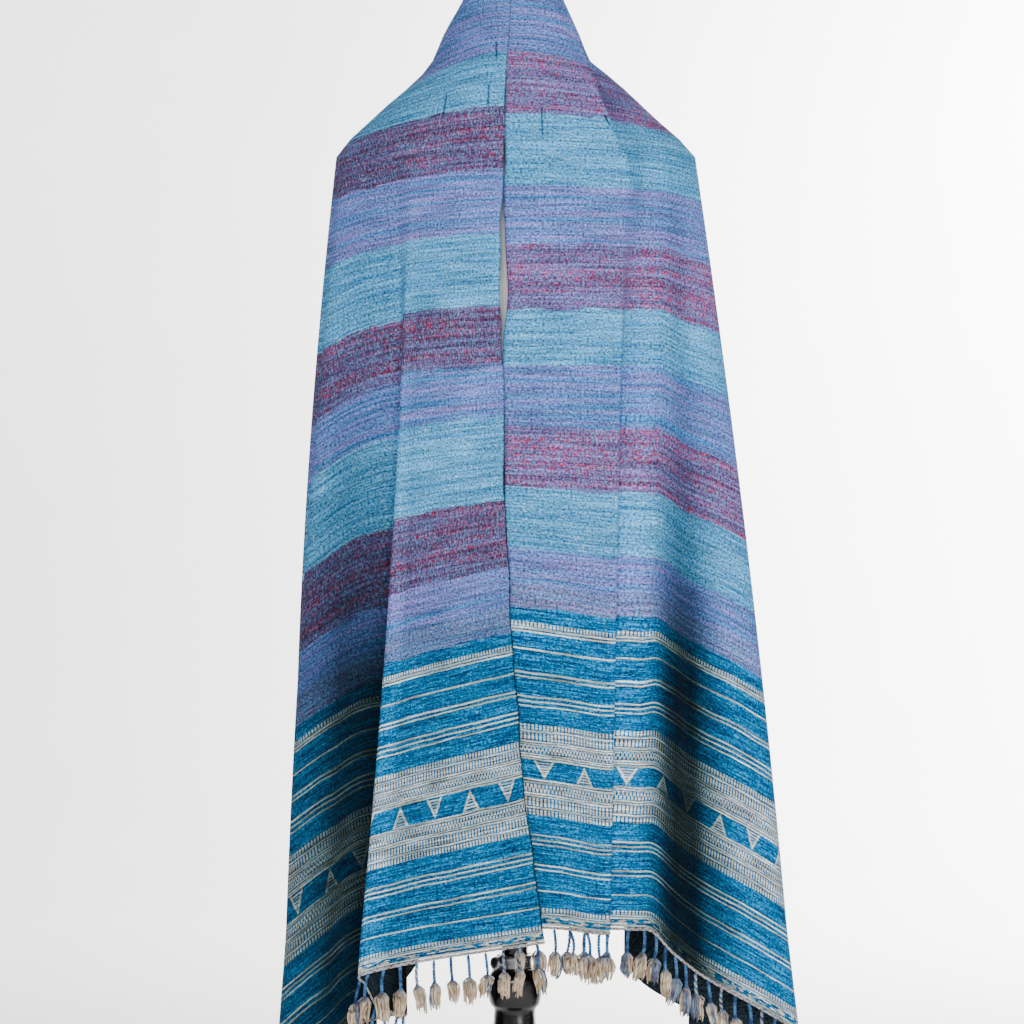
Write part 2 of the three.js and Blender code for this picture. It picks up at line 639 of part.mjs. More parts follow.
// A round rod along the thumb screw's axis, between two distances from the pole's axis.
function rodAlongScrew(from, to, radius) {
  const direction = new THREE.Vector3(Math.cos(SCREW_AZIMUTH), Math.sin(SCREW_AZIMUTH), 0);
  const across = new THREE.Vector3(-direction.y, direction.x, 0);
  const ringAt = (distance) => {
    const ring = [];
    for (let i = 0; i < ROD_SIDES; i += 1) {
      const angle = (2 * Math.PI * i) / ROD_SIDES;
      const point = direction.clone().multiplyScalar(distance).addScaledVector(across, radius * Math.cos(angle));
      point.z = SCREW_Z + radius * Math.sin(angle);
      ring.push(point);
    }
    return ring;
  };
  return loft([ringAt(from), ringAt(to)]);
}

function thumbScrewGeometry() {
  const knobStart = CLAMP_RADIUS + KNOB_GAP;
  const stem = toSolid(rodAlongScrew(POLE_RADIUS + SEAT_GAP, knobStart + 1, SCREW_RADIUS));
  const knob = toSolid(rodAlongScrew(knobStart, knobStart + KNOB_LENGTH, KNOB_RADIUS));
  return fromSolid(stem.add(knob));
}

// ---- assembly ----
addMesh('shawl_cloth', clothGeometry(clothColumns()), MATERIALS.cloth);
addMesh('fringe_right', fringeGeometry(rightHalf), MATERIALS.fringe);
addMesh('fringe_left', fringeGeometry(leftHalf), MATERIALS.fringe);
addMesh('form_torso', torsoGeometry(), MATERIALS.jersey);
addMesh('neck_cap', neckCapGeometry(), MATERIALS.blackWood);
addMesh('pole', poleGeometry(), MATERIALS.blackWood);
addMesh('clamp_ring', clampRingGeometry(), MATERIALS.steel);
addMesh('clamp_screw', thumbScrewGeometry(), MATERIALS.steel);
addMesh('stand_column', columnGeometry(), MATERIALS.blackWood);
addMesh('stand_base', baseGeometry(), MATERIALS.blackWood);

export default parts;
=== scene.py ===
"""Looks of a handwoven striped shawl, hung like a hood over a dress form on a turned stand.

Metres, +Z up, the front towards -Y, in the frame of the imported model.
Sizes in the classes are millimetres.
"""

import logging
import math
from dataclasses import dataclass
from enum import Enum
from typing import Sequence, Union

import bpy
import numpy as np
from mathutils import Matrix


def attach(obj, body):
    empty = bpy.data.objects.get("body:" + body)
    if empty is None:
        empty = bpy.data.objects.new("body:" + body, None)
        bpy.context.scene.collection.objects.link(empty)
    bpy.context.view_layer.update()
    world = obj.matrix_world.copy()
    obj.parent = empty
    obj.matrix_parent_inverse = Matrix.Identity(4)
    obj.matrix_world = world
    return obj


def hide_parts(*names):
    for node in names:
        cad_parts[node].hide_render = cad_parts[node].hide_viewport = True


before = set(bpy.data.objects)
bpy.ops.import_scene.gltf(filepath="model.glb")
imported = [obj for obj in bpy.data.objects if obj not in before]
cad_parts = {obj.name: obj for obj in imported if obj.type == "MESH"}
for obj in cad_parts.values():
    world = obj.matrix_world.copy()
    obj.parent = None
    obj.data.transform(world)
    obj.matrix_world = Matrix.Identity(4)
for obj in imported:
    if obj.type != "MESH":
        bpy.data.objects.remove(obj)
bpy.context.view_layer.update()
LOG = logging.getLogger("shawl")

MM = 0.001
Socket = bpy.types.NodeSocket
Input = Union[float, Socket]
Colour = tuple[float, float, float]


def linear(code: str) -> Colour:
    """A screen colour as linear light.

    Args:
        code: Six hexadecimal digits.

    Returns:
        Red, green and blue from 0 to 1.
    """
    values = [int(code[i : i + 2], 16) / 255 for i in (0, 2, 4)]
    return tuple(v / 12.92 if v <= 0.04045 else ((v + 0.055) / 1.055) ** 2.4 for v in values)


# ---- materials ----


class Nodes:
    """A material's node tree, with one short method for each kind of node that the finishes use."""

    def __init__(self, name: str) -> None:
        """Starts an empty tree.

        Args:
            name: The material's name.
        """
        self.material = bpy.data.materials.new(name)
        self.material.use_nodes = True
        self.tree = self.material.node_tree
        self.tree.nodes.clear()

    def add(self, kind: str, **settings: object) -> bpy.types.Node:
        """A new node of that kind with those settings."""
        node = self.tree.nodes.new(kind)
        for key, value in settings.items():
            setattr(node, key, value)
        return node

    def feed(self, socket: Socket, value: object) -> None:
        """Links a socket to an output, or sets its constant."""
        if isinstance(value, Socket):
            self.tree.links.new(value, socket)
        elif isinstance(value, tuple) and len(value) == 3 and socket.type == "RGBA":
            socket.default_value = (*value, 1.0)
        else:
            socket.default_value = value

    def math(self, operation: str, a: Input, b: Input = 0.0, c: Input = 0.0) -> Socket:
        """One maths node.

        Args:
            operation: Blender's name of the operation.
            a: First value.
            b: Second value.
            c: Third value.

        Returns:
            The result.
        """
        node = self.add("ShaderNodeMath", operation=operation)
        for socket, value in zip(node.inputs, (a, b, c)):
            self.feed(socket, value)
        return node.outputs[0]

    def times(self, a: Input, b: Input) -> Socket:
        """The product of two values."""
        return self.math("MULTIPLY", a, b)

    def minus(self, a: Input, b: Input) -> Socket:
        """The first value less the second."""
        return self.math("SUBTRACT", a, b)

    def over(self, a: Input, b: Input) -> Socket:
        """The first value divided by the second."""
        return self.math("DIVIDE", a, b)

    def fused(self, a: Input, b: Input, c: Input) -> Socket:
        """The product of the first two values, plus the third."""
        return self.math("MULTIPLY_ADD", a, b, c)

    def above(self, a: Input, b: Input) -> Socket:
        """1 where the first value is larger, and 0 elsewhere."""
        return self.math("GREATER_THAN", a, b)

    def below(self, a: Input, b: Input) -> Socket:
        """1 where the first value is smaller, and 0 elsewhere."""
        return self.math("LESS_THAN", a, b)

    def remap(
        self, value: Input, low: float, high: float, to_low: float = 0.0, to_high: float = 1.0
    ) -> Socket:
        """Maps low..high to to_low..to_high and holds the ends."""
        node = self.add("ShaderNodeMapRange", clamp=True)
        for socket, item in zip(node.inputs, (value, low, high, to_low, to_high)):
            self.feed(socket, item)
        return node.outputs[0]

    def mix(self, factor: Input, a: object, b: object, blend: str = "MIX") -> Socket:
        """Mixes two colours by a factor."""
        node = self.add("ShaderNodeMix", data_type="RGBA", blend_type=blend, clamp_factor=True)
        self.feed(node.inputs[0], factor)
        self.feed(node.inputs[6], a)
        self.feed(node.inputs[7], b)
        return node.outputs[2]

    def vector(self, x: Input, y: Input, z: Input = 0.0) -> Socket:
        """Joins three values to a vector."""
        node = self.add("ShaderNodeCombineXYZ")
        for socket, value in zip(node.inputs, (x, y, z)):
            self.feed(socket, value)
        return node.outputs[0]

    def noise(
        self, vector: Socket, scale: float = 1.0, detail: float = 2.0, rough: float = 0.5
    ) -> Socket:
        """Soft noise from 0 to 1, about 0.5 in the middle."""
        node = self.add("ShaderNodeTexNoise", noise_dimensions="3D")
        self.feed(node.inputs["Vector"], vector)
        node.inputs["Scale"].default_value = scale
        node.inputs["Detail"].default_value = detail
        node.inputs["Roughness"].default_value = rough
        return node.outputs[0]

    def attribute(self, name: str) -> list[Socket]:
        """The three parts of a vector that is stored on the mesh."""
        node = self.add("ShaderNodeAttribute", attribute_type="GEOMETRY", attribute_name=name)
        return self.split(node.outputs["Vector"])

    def split(self, vector: Socket) -> list[Socket]:
        """The three parts of a vector."""
        node = self.add("ShaderNodeSeparateXYZ")
        self.feed(node.inputs[0], vector)
        return list(node.outputs)

    def spot(self) -> Socket:
        """The place on the object, in metres."""
        return self.add("ShaderNodeTexCoord").outputs["Object"]

    def stretched(self, vector: Socket, scale: tuple[float, float, float]) -> Socket:
        """A vector scaled along each axis, for grain and brushing."""
        node = self.add("ShaderNodeMapping")
        self.feed(node.inputs["Vector"], vector)
        node.inputs["Scale"].default_value = scale
        return node.outputs[0]

    def ramp(self, value: Input, stops: Sequence[tuple[float, Colour]]) -> Socket:
        """A colour ramp with hard steps.

        Args:
            value: Place on the ramp from 0 to 1.
            stops: The start of each step and its colour, in rising order.

        Returns:
            The colour.
        """
        node = self.add("ShaderNodeValToRGB")
        ramp = node.color_ramp
        ramp.interpolation = "CONSTANT"
        while len(ramp.elements) < len(stops):
            ramp.elements.new(1.0)
        for element, (place, colour) in zip(ramp.elements, stops):
            element.position = place
            element.color = (*colour, 1.0)
        self.feed(node.inputs[0], value)
        return node.outputs[0]

    def split_colour(self, colour: Socket) -> list[Socket]:
        """Red, green and blue of a colour."""
        node = self.add("ShaderNodeSeparateColor")
        self.feed(node.inputs[0], colour)
        return list(node.outputs)[:3]

    def surface(
        self, colour: object, rough: Input, height: Input, depth: float, strength: float = 0.6,
        **constants: float
    ) -> bpy.types.Material:
        """Ends the tree with a principled surface and bump.

        Args:
            colour: Base colour.
            rough: Roughness.
            height: Bump height from 0 to 1.
            depth: What a height of 1 stands for, in millimetres.
            strength: Strength of the bump.
            **constants: Other sockets of the shader, by name with underscores.

        Returns:
            The finished material.
        """
        shader = self.add("ShaderNodeBsdfPrincipled")
        self.feed(shader.inputs["Base Color"], colour)
        self.feed(shader.inputs["Roughness"], rough)
        for key, value in constants.items():
            shader.inputs[key.replace("_", " ")].default_value = value
        bump = self.add("ShaderNodeBump")
        bump.inputs["Strength"].default_value = strength
        bump.inputs["Distance"].default_value = depth * MM
        self.feed(bump.inputs["Height"], height)
        self.feed(shader.inputs["Normal"], bump.outputs[0])
        end = self.add("ShaderNodeOutputMaterial")
        self.feed(end.inputs[0], shader.outputs[0])
        return self.material


class Yarn(Enum):
    """Weft colours of the plain stripes, as the chart's red, green and blue channel."""

    MADDER = (1.0, 0.0, 0.0)
    FAINT = (0.5, 0.5, 0.0)
    MALLOW = (0.0, 1.0, 0.0)
    SKY = (0.0, 0.0, 1.0)
    INDIGO = (0.0, 0.0, 0.0)


# Where each weft colour starts, in millimetres of cloth from the peak: minus is the left end,
# plus the right end.
STRIPES = [
    (-1100, Yarn.INDIGO), (-748, Yarn.FAINT), (-722, Yarn.MALLOW), (-686, Yarn.MADDER),
    (-616, Yarn.SKY),
    (-531, Yarn.MALLOW), (-478, Yarn.MADDER), (-421, Yarn.SKY), (-346, Yarn.MALLOW),
    (-283, Yarn.MADDER),
    (-217, Yarn.SKY), (-158, Yarn.MALLOW), (-75, Yarn.FAINT), (-10, Yarn.SKY), (50, Yarn.MALLOW),
    (151, Yarn.MADDER), (223, Yarn.SKY), (296, Yarn.MALLOW), (356, Yarn.MADDER),
    (420, Yarn.SKY), (476, Yarn.MALLOW), (536, Yarn.MADDER),
    (596, Yarn.SKY), (656, Yarn.MALLOW), (690, Yarn.FAINT), (711, Yarn.INDIGO),
]
STRIPE_SPAN = 1100


class Motif(Enum):
    """What fills a row of the end border, as the chart's red, green and blue channel."""

    LINE = (1.0, 0.0, 0.0)
    BARS = (0.0, 1.0, 0.0)
    BLOCKS = (0.0, 0.0, 1.0)
    BRAID = (0.5, 0.0, 0.5)


# Rows of the border from the hem upwards: lowest and highest distance from the hem in
# millimetres, and the motif.
BORDER = [
    (0, 2.2, Motif.LINE), (2.9, 9.4, Motif.BRAID), (10, 11.7, Motif.LINE), (12.9, 14.4, Motif.LINE),
    (15.4, 20.6, Motif.BARS), (38.7, 40.2, Motif.LINE), (60.3, 61.9, Motif.LINE),
    (65.1, 66.7, Motif.LINE),
    (85.5, 87.1, Motif.LINE), (90, 91.6, Motif.LINE), (94.7, 96.3, Motif.LINE),
    (115.2, 120.9, Motif.BARS),
    (121.8, 123.5, Motif.LINE), (124.5, 132.2, Motif.BARS), (133.1, 134.7, Motif.LINE),
    (135.6, 137.2, Motif.LINE),
    (138.1, 145.9, Motif.BLOCKS), (146.8, 148.4, Motif.LINE), (149.4, 151.1, Motif.LINE),
    (170.5, 172.2, Motif.LINE),
    (173.2, 174.8, Motif.LINE), (175.7, 177.2, Motif.LINE), (178.1, 185.9, Motif.BLOCKS),
    (186.8, 188.4, Motif.LINE), (189.3, 190.9, Motif.LINE), (191.9, 199.6, Motif.BARS),
    (200.5, 202.3, Motif.LINE),
    (203.3, 209, Motif.BARS), (228, 229.6, Motif.LINE), (232.9, 234.5, Motif.LINE),
    (237.5, 239.1, Motif.LINE),
    (256.1, 257.7, Motif.LINE), (260.1, 261.7, Motif.LINE), (281, 282.6, Motif.LINE),
    (296.7, 298.3, Motif.LINE),
    (299.7, 301.3, Motif.LINE), (302.4, 306.2, Motif.BARS),
]
BORDER_SPAN = 320
# The left end was woven a little tighter: distance from its hem, and the same row's distance at
# the right end.
LEFT_TO_RIGHT = [
    (0, 0), (14, 20.6), (29.5, 38), (32.5, 41), (47.3, 59.5), (55.3, 67.5), (70.7, 84.3),
    (83.7, 97.3), (100.5, 114.8),
    (135.3, 151.3), (156.7, 170.3), (191.5, 209), (208.2, 227.1), (221.2, 240.1), (234.2, 254.9),
    (242.2, 262.9),
    (256.5, 280.3), (259.5, 283.3), (276.3, 296.5), (286.3, 306.5), (298, 320),
]


# Nips in the hood, drawn as painted shade: place across, lowest and highest point in millimetres,
# and lean.
NIPS = [
    (-18.8, 1487, 1508, 0.0), (-26.7, 1437, 1462, 0.05), (-70.8, 1427, 1455, 0.14),
    (27.2, 1404, 1439, -0.03)
]


@dataclass(frozen=True)
class Weave:
    """The shawl's woven cloth: striped ground, end borders with their motifs and thread relief."""

    name: str
    painted_shade_tone: float = 1.0
    reverse: bool = False
    right_length: float = 1033.0
    left_length: float = 1046.0
    bar_pitch: float = 3.2
    block_pitch: float = 3.9
    wedge_pitch: float = 38.6
    wedge_pitch_left: float = 37.7
    wedge_start: float = 32.5
    wedge_start_left: float = 18.0
    wedge_low: float = 151.8
    wedge_high: float = 169.9
    wedge_half: float = 8.8
    wedge_rim: float = 2.3
    hatch_pitch: float = 2.7
    hatch_share: float = 0.42
    tooth_share: float = 0.56
    block_base: float = 138.1
    braid_length: float = 9.0
    braid_step: float = 2.6
    braid_level: float = 0.47
    nip_core: float = 0.0004
    nip_reach: float = 0.0015
    nip_painted_shade: float = 0.72
    grey_share: float = 0.6
    warp_pitch: float = 1.2
    weft_pitch: float = 1.05
    sky: tuple[str, str, str] = ("2178b8", "6cc0f2", "dcecf0")
    mallow: tuple[str, str, str] = ("3f7cc0", "8a78c8", "45549c")
    madder: tuple[str, str, str] = ("7c74bc", "5a2248", "c01440")
    indigo: tuple[str, str, str] = ("03457c", "0e86c4", "46bcf0")
    warp: str = "62b2ec"
    cream: tuple[str, str] = ("a6a68e", "f4fbf0")
    dark: str = "041028"
    painted_shade_madder: str = "2a1230"
    grey: str = "8a8c90"
    edge: float = 1.7

    def chart(self, nodes: Nodes, distance: Socket) -> list[Socket]:
        """Looks the border rows up.

        Args:
            nodes: The tree.
            distance: Distance from the hem in the right end's measure.

        Returns:
            The line, bar and block channels.
        """
        channels: list[Socket] = []
        group = 6
        for first in range(0, len(BORDER), group):
            rows = BORDER[first : first + group]
            base, span = rows[0][0] - 1.0, rows[-1][1] - rows[0][0] + 2.0
            stops = [(0.0, Yarn.INDIGO.value)]
            for low, high, motif in rows:
                stops += [
                    ((low - base) / span, motif.value), ((high - base) / span, Yarn.INDIGO.value)
                ]
            place = nodes.over(nodes.minus(distance, base), span)
            parts = nodes.split_colour(nodes.ramp(place, stops))
            channels = [
                nodes.math("ADD", a, b) for a, b in zip(channels, parts)
            ] if channels else parts
        return channels

    def wedges(self, nodes: Nodes, distance: Socket, width: Socket) -> Socket:
        """The row of small outlined triangles, pointing down and up in turn.

        Args:
            nodes: The tree.
            distance: Distance from the hem.
            width: Distance from the selvage in the right end's measure.

        Returns:
            1 on the cream threads and 0 elsewhere.
        """
        step = nodes.over(nodes.minus(width, self.wedge_start), self.wedge_pitch)
        number = nodes.math("ROUND", step)
        aside = nodes.math("ABSOLUTE", nodes.times(nodes.minus(step, number), self.wedge_pitch))
        upward = nodes.math("ABSOLUTE", nodes.math("MODULO", number, 2.0))
        rise = nodes.remap(distance, self.wedge_low, self.wedge_high)
        flip = nodes.minus(1.0, nodes.times(rise, 2.0))
        spread = nodes.fused(upward, flip, rise)
        half = nodes.times(spread, self.wedge_half)
        inside = nodes.above(half, aside)
        rim = nodes.above(aside, nodes.minus(half, self.wedge_rim))
        hatch = nodes.below(
            nodes.math("FRACT", nodes.over(distance, self.hatch_pitch)), self.hatch_share
        )
        zone = nodes.times(
            nodes.above(distance, self.wedge_low), nodes.below(distance, self.wedge_high)
        )
        threads = nodes.math("MAXIMUM", rim, hatch)
        return nodes.times(nodes.times(inside, threads), zone)

    def pattern(self, nodes: Nodes, distance: Socket, width: Socket) -> Socket:
        """All cream threads of the border.

        Args:
            nodes: The tree.
            distance: Distance from the hem.
            width: Distance from the selvage in the right end's measure.

        Returns:
            1 on the cream threads and 0 elsewhere.
        """
        line, bars, blocks = self.chart(nodes, distance)
        across = nodes.math("FRACT", nodes.over(width, self.bar_pitch))
        tooth = nodes.below(across, self.tooth_share)
        step = nodes.over(nodes.minus(distance, self.block_base), self.block_pitch)
        level = nodes.math("MODULO", nodes.math("FLOOR", step), 2.0)
        shifted = nodes.math("FRACT", nodes.fused(level, 0.5, nodes.over(width, self.bar_pitch)))
        block = nodes.below(shifted, self.tooth_share)
        mid = nodes.times(line, blocks)
        braid = nodes.above(mid, 0.1)
        place = nodes.vector(
            nodes.over(width, self.braid_length), nodes.over(distance, self.braid_step)
        )
        dash = nodes.above(nodes.noise(place, 1.0, 1.0), self.braid_level)
        braided = nodes.times(braid, nodes.minus(1.0, dash))
        solid = nodes.above(line, 0.9)
        found = nodes.math("MAXIMUM", solid, nodes.times(bars, tooth))
        found = nodes.math("MAXIMUM", found, nodes.times(nodes.above(blocks, 0.9), block))
        found = nodes.math("MAXIMUM", found, braided)
        return nodes.math("MAXIMUM", found, self.wedges(nodes, distance, width))

    def painted_nip_shade(self, nodes: Nodes) -> Socket:
        """Short upright nips in the front of the hood, drawn as the painted shade of hairline
        folds.

        Args:
            nodes: The tree.

        Returns:
            1 on plain cloth, less in a nip.
        """
        across, depth, height = nodes.split(nodes.spot())
        front = nodes.below(depth, 0.0)
        shade: Input = 1.0
        for place, low, high, lean in NIPS:
            middle, reach = (low + high) / 2 * MM, (high - low) / 2 * MM
            line = nodes.fused(nodes.minus(height, middle), lean, place * MM)
            aside = nodes.math("ABSOLUTE", nodes.minus(across, line))
            thin = nodes.remap(aside, self.nip_core, self.nip_reach, 1.0, 0.0)
            rise = nodes.math("ABSOLUTE", nodes.minus(height, middle))
            ends = nodes.remap(rise, reach * 0.7, reach * 1.1, 1.0, 0.0)
            dark = nodes.times(nodes.times(thin, ends), front)
            shade = nodes.times(nodes.fused(dark, -self.nip_painted_shade, 1.0), shade)
        return shade

    def material(self) -> bpy.types.Material:
        """Builds the node tree.

        Returns:
            The cloth's material.
        """
        nodes = Nodes(self.name)
        # The third part of the stored vector is painted light and shade: lighter where the cloth
        # lies single, darker deep in the folds.
        length, width, light = nodes.attribute("cloth_place_and_painted_light")
        left = nodes.below(length, 0.0)

        def streak(along: float, across: float, seed: float, detail: float = 2.0) -> Socket:
            """Noise drawn out along the weft: its size along the length and across the width."""
            place = nodes.vector(nodes.over(length, along), nodes.over(width, across), seed)
            return nodes.noise(place, 1.0, detail, 0.6)

        pick = streak(1.5, 34.0, 0.0)
        bar = streak(6.0, 150.0, 7.3)
        slub = streak(1.1, 7.5, 13.1)
        tick = streak(4.2, 1.25, 21.7, 1.0)
        drift = streak(42.0, 60.0, 33.3, 1.0)
        wobble = nodes.times(nodes.minus(streak(90.0, 38.0, 40.0, 1.0), 0.5), 2.6)

        ragged = nodes.fused(nodes.minus(pick, 0.5), 13.0, nodes.math("ADD", length, wobble))
        ramps = []
        for low in (-STRIPE_SPAN, 0):
            inside = [(start, yarn) for start, yarn in STRIPES if low <= start < low + STRIPE_SPAN]
            before = [yarn for start, yarn in STRIPES if start < low]
            stops = [((start - low) / STRIPE_SPAN, yarn.value) for start, yarn in inside]
            if before:
                stops.insert(0, (0.0, before[-1].value))
            ramps.append(nodes.ramp(nodes.over(nodes.minus(ragged, low), STRIPE_SPAN), stops))
        madder, mallow, sky_part = nodes.split_colour(nodes.mix(left, ramps[1], ramps[0]))
        plain = nodes.math("ADD", nodes.math("ADD", madder, mallow), sky_part)

        band = nodes.remap(streak(5.2, 260.0, 71.0, 2.0), 0.36, 0.62)
        fine = nodes.remap(pick, 0.4, 0.6)
        both = nodes.fused(band, 0.5, nodes.times(fine, 0.5))
        sky = nodes.mix(both, linear(self.sky[0]), linear(self.sky[1]))
        sky = nodes.mix(nodes.remap(slub, 0.62, 0.72, 0.0, 0.9), sky, linear(self.sky[2]))
        mauve = nodes.mix(band, linear(self.mallow[0]), linear(self.mallow[1]))
        mauve = nodes.mix(
            nodes.times(nodes.remap(pick, 0.52, 0.64), 0.65), mauve, linear(self.mallow[2])
        )
        # rich varies the madder at random by band and pick; on the left half it also leans darker,
        # and the dark mix below darkens it again: painted shade for the side turned from the light.
        rich = nodes.fused(left, 0.3, nodes.fused(band, 0.75, nodes.fused(fine, 0.35, -0.12)))
        wine = nodes.mix(rich, linear(self.madder[0]), linear(self.madder[1]))
        red = nodes.times(nodes.remap(slub, 0.47, 0.6), nodes.remap(bar, 0.44, 0.58, 0.15, 0.95))
        wine = nodes.mix(red, wine, linear(self.madder[2]))
        wine = nodes.mix(nodes.times(left, 0.34), wine, linear(self.painted_shade_madder))
        blue = nodes.mix(fine, linear(self.indigo[0]), linear(self.indigo[1]))
        blue = nodes.mix(nodes.remap(slub, 0.54, 0.72, 0.0, 0.8), blue, linear(self.indigo[2]))

        ground = nodes.mix(madder, nodes.mix(mallow, sky, mauve), wine)
        ground = nodes.mix(nodes.remap(tick, 0.46, 0.64, 0.05, 0.42), ground, linear(self.warp))
        ground = nodes.mix(
            plain, nodes.mix(nodes.remap(tick, 0.42, 0.28, 0.0, 0.7), blue, linear(self.dark)),
            ground
        )

        end = nodes.fused(left, self.left_length - self.right_length, self.right_length)
        distance = nodes.minus(end, nodes.math("ABSOLUTE", length))
        curve = nodes.add("ShaderNodeFloatCurve")
        points = curve.mapping.curves[0].points
        while len(points) < len(LEFT_TO_RIGHT):
            points.new(0.5, 0.5)
        for point, (low, high) in zip(points, LEFT_TO_RIGHT):
            point.location = (low / BORDER_SPAN, high / BORDER_SPAN)
            point.handle_type = "VECTOR"
        curve.mapping.update()
        nodes.feed(curve.inputs["Value"], nodes.over(distance, BORDER_SPAN))
        fitted = nodes.times(curve.outputs[0], BORDER_SPAN)
        choose = nodes.fused(left, nodes.minus(fitted, distance), distance)
        uneven = nodes.fused(nodes.minus(slub, 0.5), 1.1, nodes.math("ADD", choose, wobble))
        aligned = nodes.fused(
            nodes.minus(width, self.wedge_start_left),
            self.wedge_pitch / self.wedge_pitch_left,
            self.wedge_start,
        )
        place = nodes.fused(left, nodes.minus(aligned, width), width)
        threads = self.pattern(nodes, uneven, place)
        worn = nodes.times(
            threads, nodes.remap(tick, 0.3, 0.42, 0.25 if self.reverse else 0.55, 1.0)
        )
        if self.reverse:
            worn = nodes.times(worn, nodes.remap(slub, 0.42, 0.56, 0.15, 0.75))
        cream = nodes.mix(fine, linear(self.cream[0]), linear(self.cream[1]))
        colour = nodes.mix(worn, ground, cream)
        gap = nodes.noise(
            nodes.vector(nodes.over(length, 1.8), nodes.over(width, 2.3), 51.0), 1.0, 1.0
        )
        # shade multiplies the colour: random drift, streaks and pores of the weave, and painted
        # shade: the reverse's dark tone, the shadow along the front selvage, the nips and the
        # painted light and shade stored on the mesh.
        shade = nodes.times(nodes.remap(drift, 0.3, 0.7, 0.9, 1.1), self.painted_shade_tone)
        pores = nodes.remap(gap, 0.3, 0.66, 0.36, 1.62)
        pores = nodes.fused(nodes.minus(1.15, pores), nodes.times(threads, 0.6), pores)
        shade = nodes.times(shade, pores)
        shade = nodes.times(
            shade, nodes.remap(streak(2.4, 70.0, 61.0, 1.0), 0.36, 0.64, 0.72, 1.28)
        )
        # A dark band along the front selvage, stronger towards the hem: partly the dark selvage
        # thread, partly the painted shadow of the overlapping front edge.
        selvage_and_painted_shadow = nodes.below(nodes.fused(slub, 1.2, width), self.edge)
        lower = nodes.remap(nodes.math("ABSOLUTE", length), 520.0, 640.0, 0.35, 0.9)
        shade = nodes.times(shade, nodes.minus(1.0, nodes.times(selvage_and_painted_shadow, lower)))
        shade = nodes.times(shade, self.painted_nip_shade(nodes))
        # Painted light and shade from the mesh.
        shade = nodes.times(shade, nodes.math("ADD", light, 1.0))
        if self.reverse:
            colour = nodes.mix(self.grey_share, colour, linear(self.grey))
        # Shade, painted shade included, takes out a little more red than green and blue.
        deep = nodes.vector(nodes.math("POWER", shade, 1.15), shade, shade)
        colour = nodes.mix(1.0, colour, deep, "MULTIPLY")

        ridge = nodes.math("SINE", nodes.times(length, 2 * math.pi / self.weft_pitch))
        rib = nodes.math("SINE", nodes.times(width, 2 * math.pi / self.warp_pitch))
        height = nodes.fused(nodes.times(ridge, rib), 0.25, 0.5)
        height = nodes.fused(nodes.minus(slub, 0.5), 1.3, height)
        height = nodes.fused(threads, 0.6, height)
        return nodes.surface(
            colour, 0.86, height, 0.45, 0.7,
            Sheen_Weight=0.02, Sheen_Roughness=0.5, Specular_IOR_Level=0.08,
        )


@dataclass(frozen=True)
class TwistedYarn:
    """Fringe yarn, from blue cord to cream tassel by the tint stored on the mesh."""

    name: str
    blue: tuple[str, str] = ("1c4478", "4c86ba")
    cream: tuple[str, str] = ("a8845c", "fbeed6")

    def material(self) -> bpy.types.Material:
        """Builds the node tree.

        Returns:
            The yarn's material.
        """
        nodes = Nodes(self.name)
        tint, shade, _ = nodes.attribute("yarn_place")
        spot = nodes.spot()
        fuzz = nodes.noise(spot, 900.0, 3.0, 0.6)
        patch = nodes.noise(spot, 160.0, 2.0)
        blue = nodes.mix(nodes.remap(patch, 0.4, 0.6), linear(self.blue[0]), linear(self.blue[1]))
        cream = nodes.mix(
            nodes.times(nodes.math("ADD", shade, nodes.remap(patch, 0.35, 0.65)), 0.5),
            linear(self.cream[0]), linear(self.cream[1])
        )
        colour = nodes.mix(tint, blue, cream)
        return nodes.surface(colour, 0.9, fuzz, 0.3, 0.5, Sheen_Weight=0.15, Specular_IOR_Level=0.2)


@dataclass(frozen=True)
class Jersey:
    """Matt pale knit that covers the dress form."""

    name: str
    pale: str = "f6f6f7"
    grey: str = "e6e7ea"

    def material(self) -> bpy.types.Material:
        """Builds the node tree.

        Returns:
            The jersey's material.
        """
        nodes = Nodes(self.name)
        spot = nodes.spot()
        knit = nodes.noise(spot, 700.0, 2.0)
        patch = nodes.noise(spot, 12.0, 2.0)
        colour = nodes.mix(nodes.remap(patch, 0.35, 0.65), linear(self.grey), linear(self.pale))
        rough = nodes.remap(knit, 0.3, 0.7, 0.8, 0.95)
        return nodes.surface(
            colour, rough, knit, 0.3, 0.4, Sheen_Weight=0.1, Specular_IOR_Level=0.25
        )


@dataclass(frozen=True)
class Lacquer:
    """Black gloss lacquer over turned wood, with faint grain and dust."""

    name: str
    black: str = "0a090b"
    worn: str = "1d1a1c"
    low: float = 0.16
    high: float = 0.34

    def material(self) -> bpy.types.Material:
        """Builds the node tree.

        Returns:
            The lacquer's material.
        """
        nodes = Nodes(self.name)
        spot = nodes.spot()
        grain = nodes.noise(nodes.stretched(spot, (60.0, 60.0, 5.0)), 1.0, 4.0)
        dust = nodes.noise(spot, 45.0, 3.0)
        colour = nodes.mix(nodes.remap(grain, 0.45, 0.7), linear(self.black), linear(self.worn))
        rough = nodes.remap(dust, 0.35, 0.7, self.low, self.high)
        return nodes.surface(colour, rough, grain, 0.12, 0.25, Coat_Weight=0.6, Coat_Roughness=0.12)


@dataclass(frozen=True)
class Steel:
    """Brushed steel of the clamp."""

    name: str
    pale: str = "b8babd"
    dark: str = "85888c"

    def material(self) -> bpy.types.Material:
        """Builds the node tree.

        Returns:
            The steel's material.
        """
        nodes = Nodes(self.name)
        spot = nodes.spot()
        brushed = nodes.noise(nodes.stretched(spot, (30.0, 30.0, 2400.0)), 1.0, 2.0)
        colour = nodes.mix(brushed, linear(self.dark), linear(self.pale))
        return nodes.surface(
            colour, nodes.remap(brushed, 0.3, 0.7, 0.22, 0.42), brushed, 0.04, 0.3, Metallic=1.0
        )


# ---- meshes ----


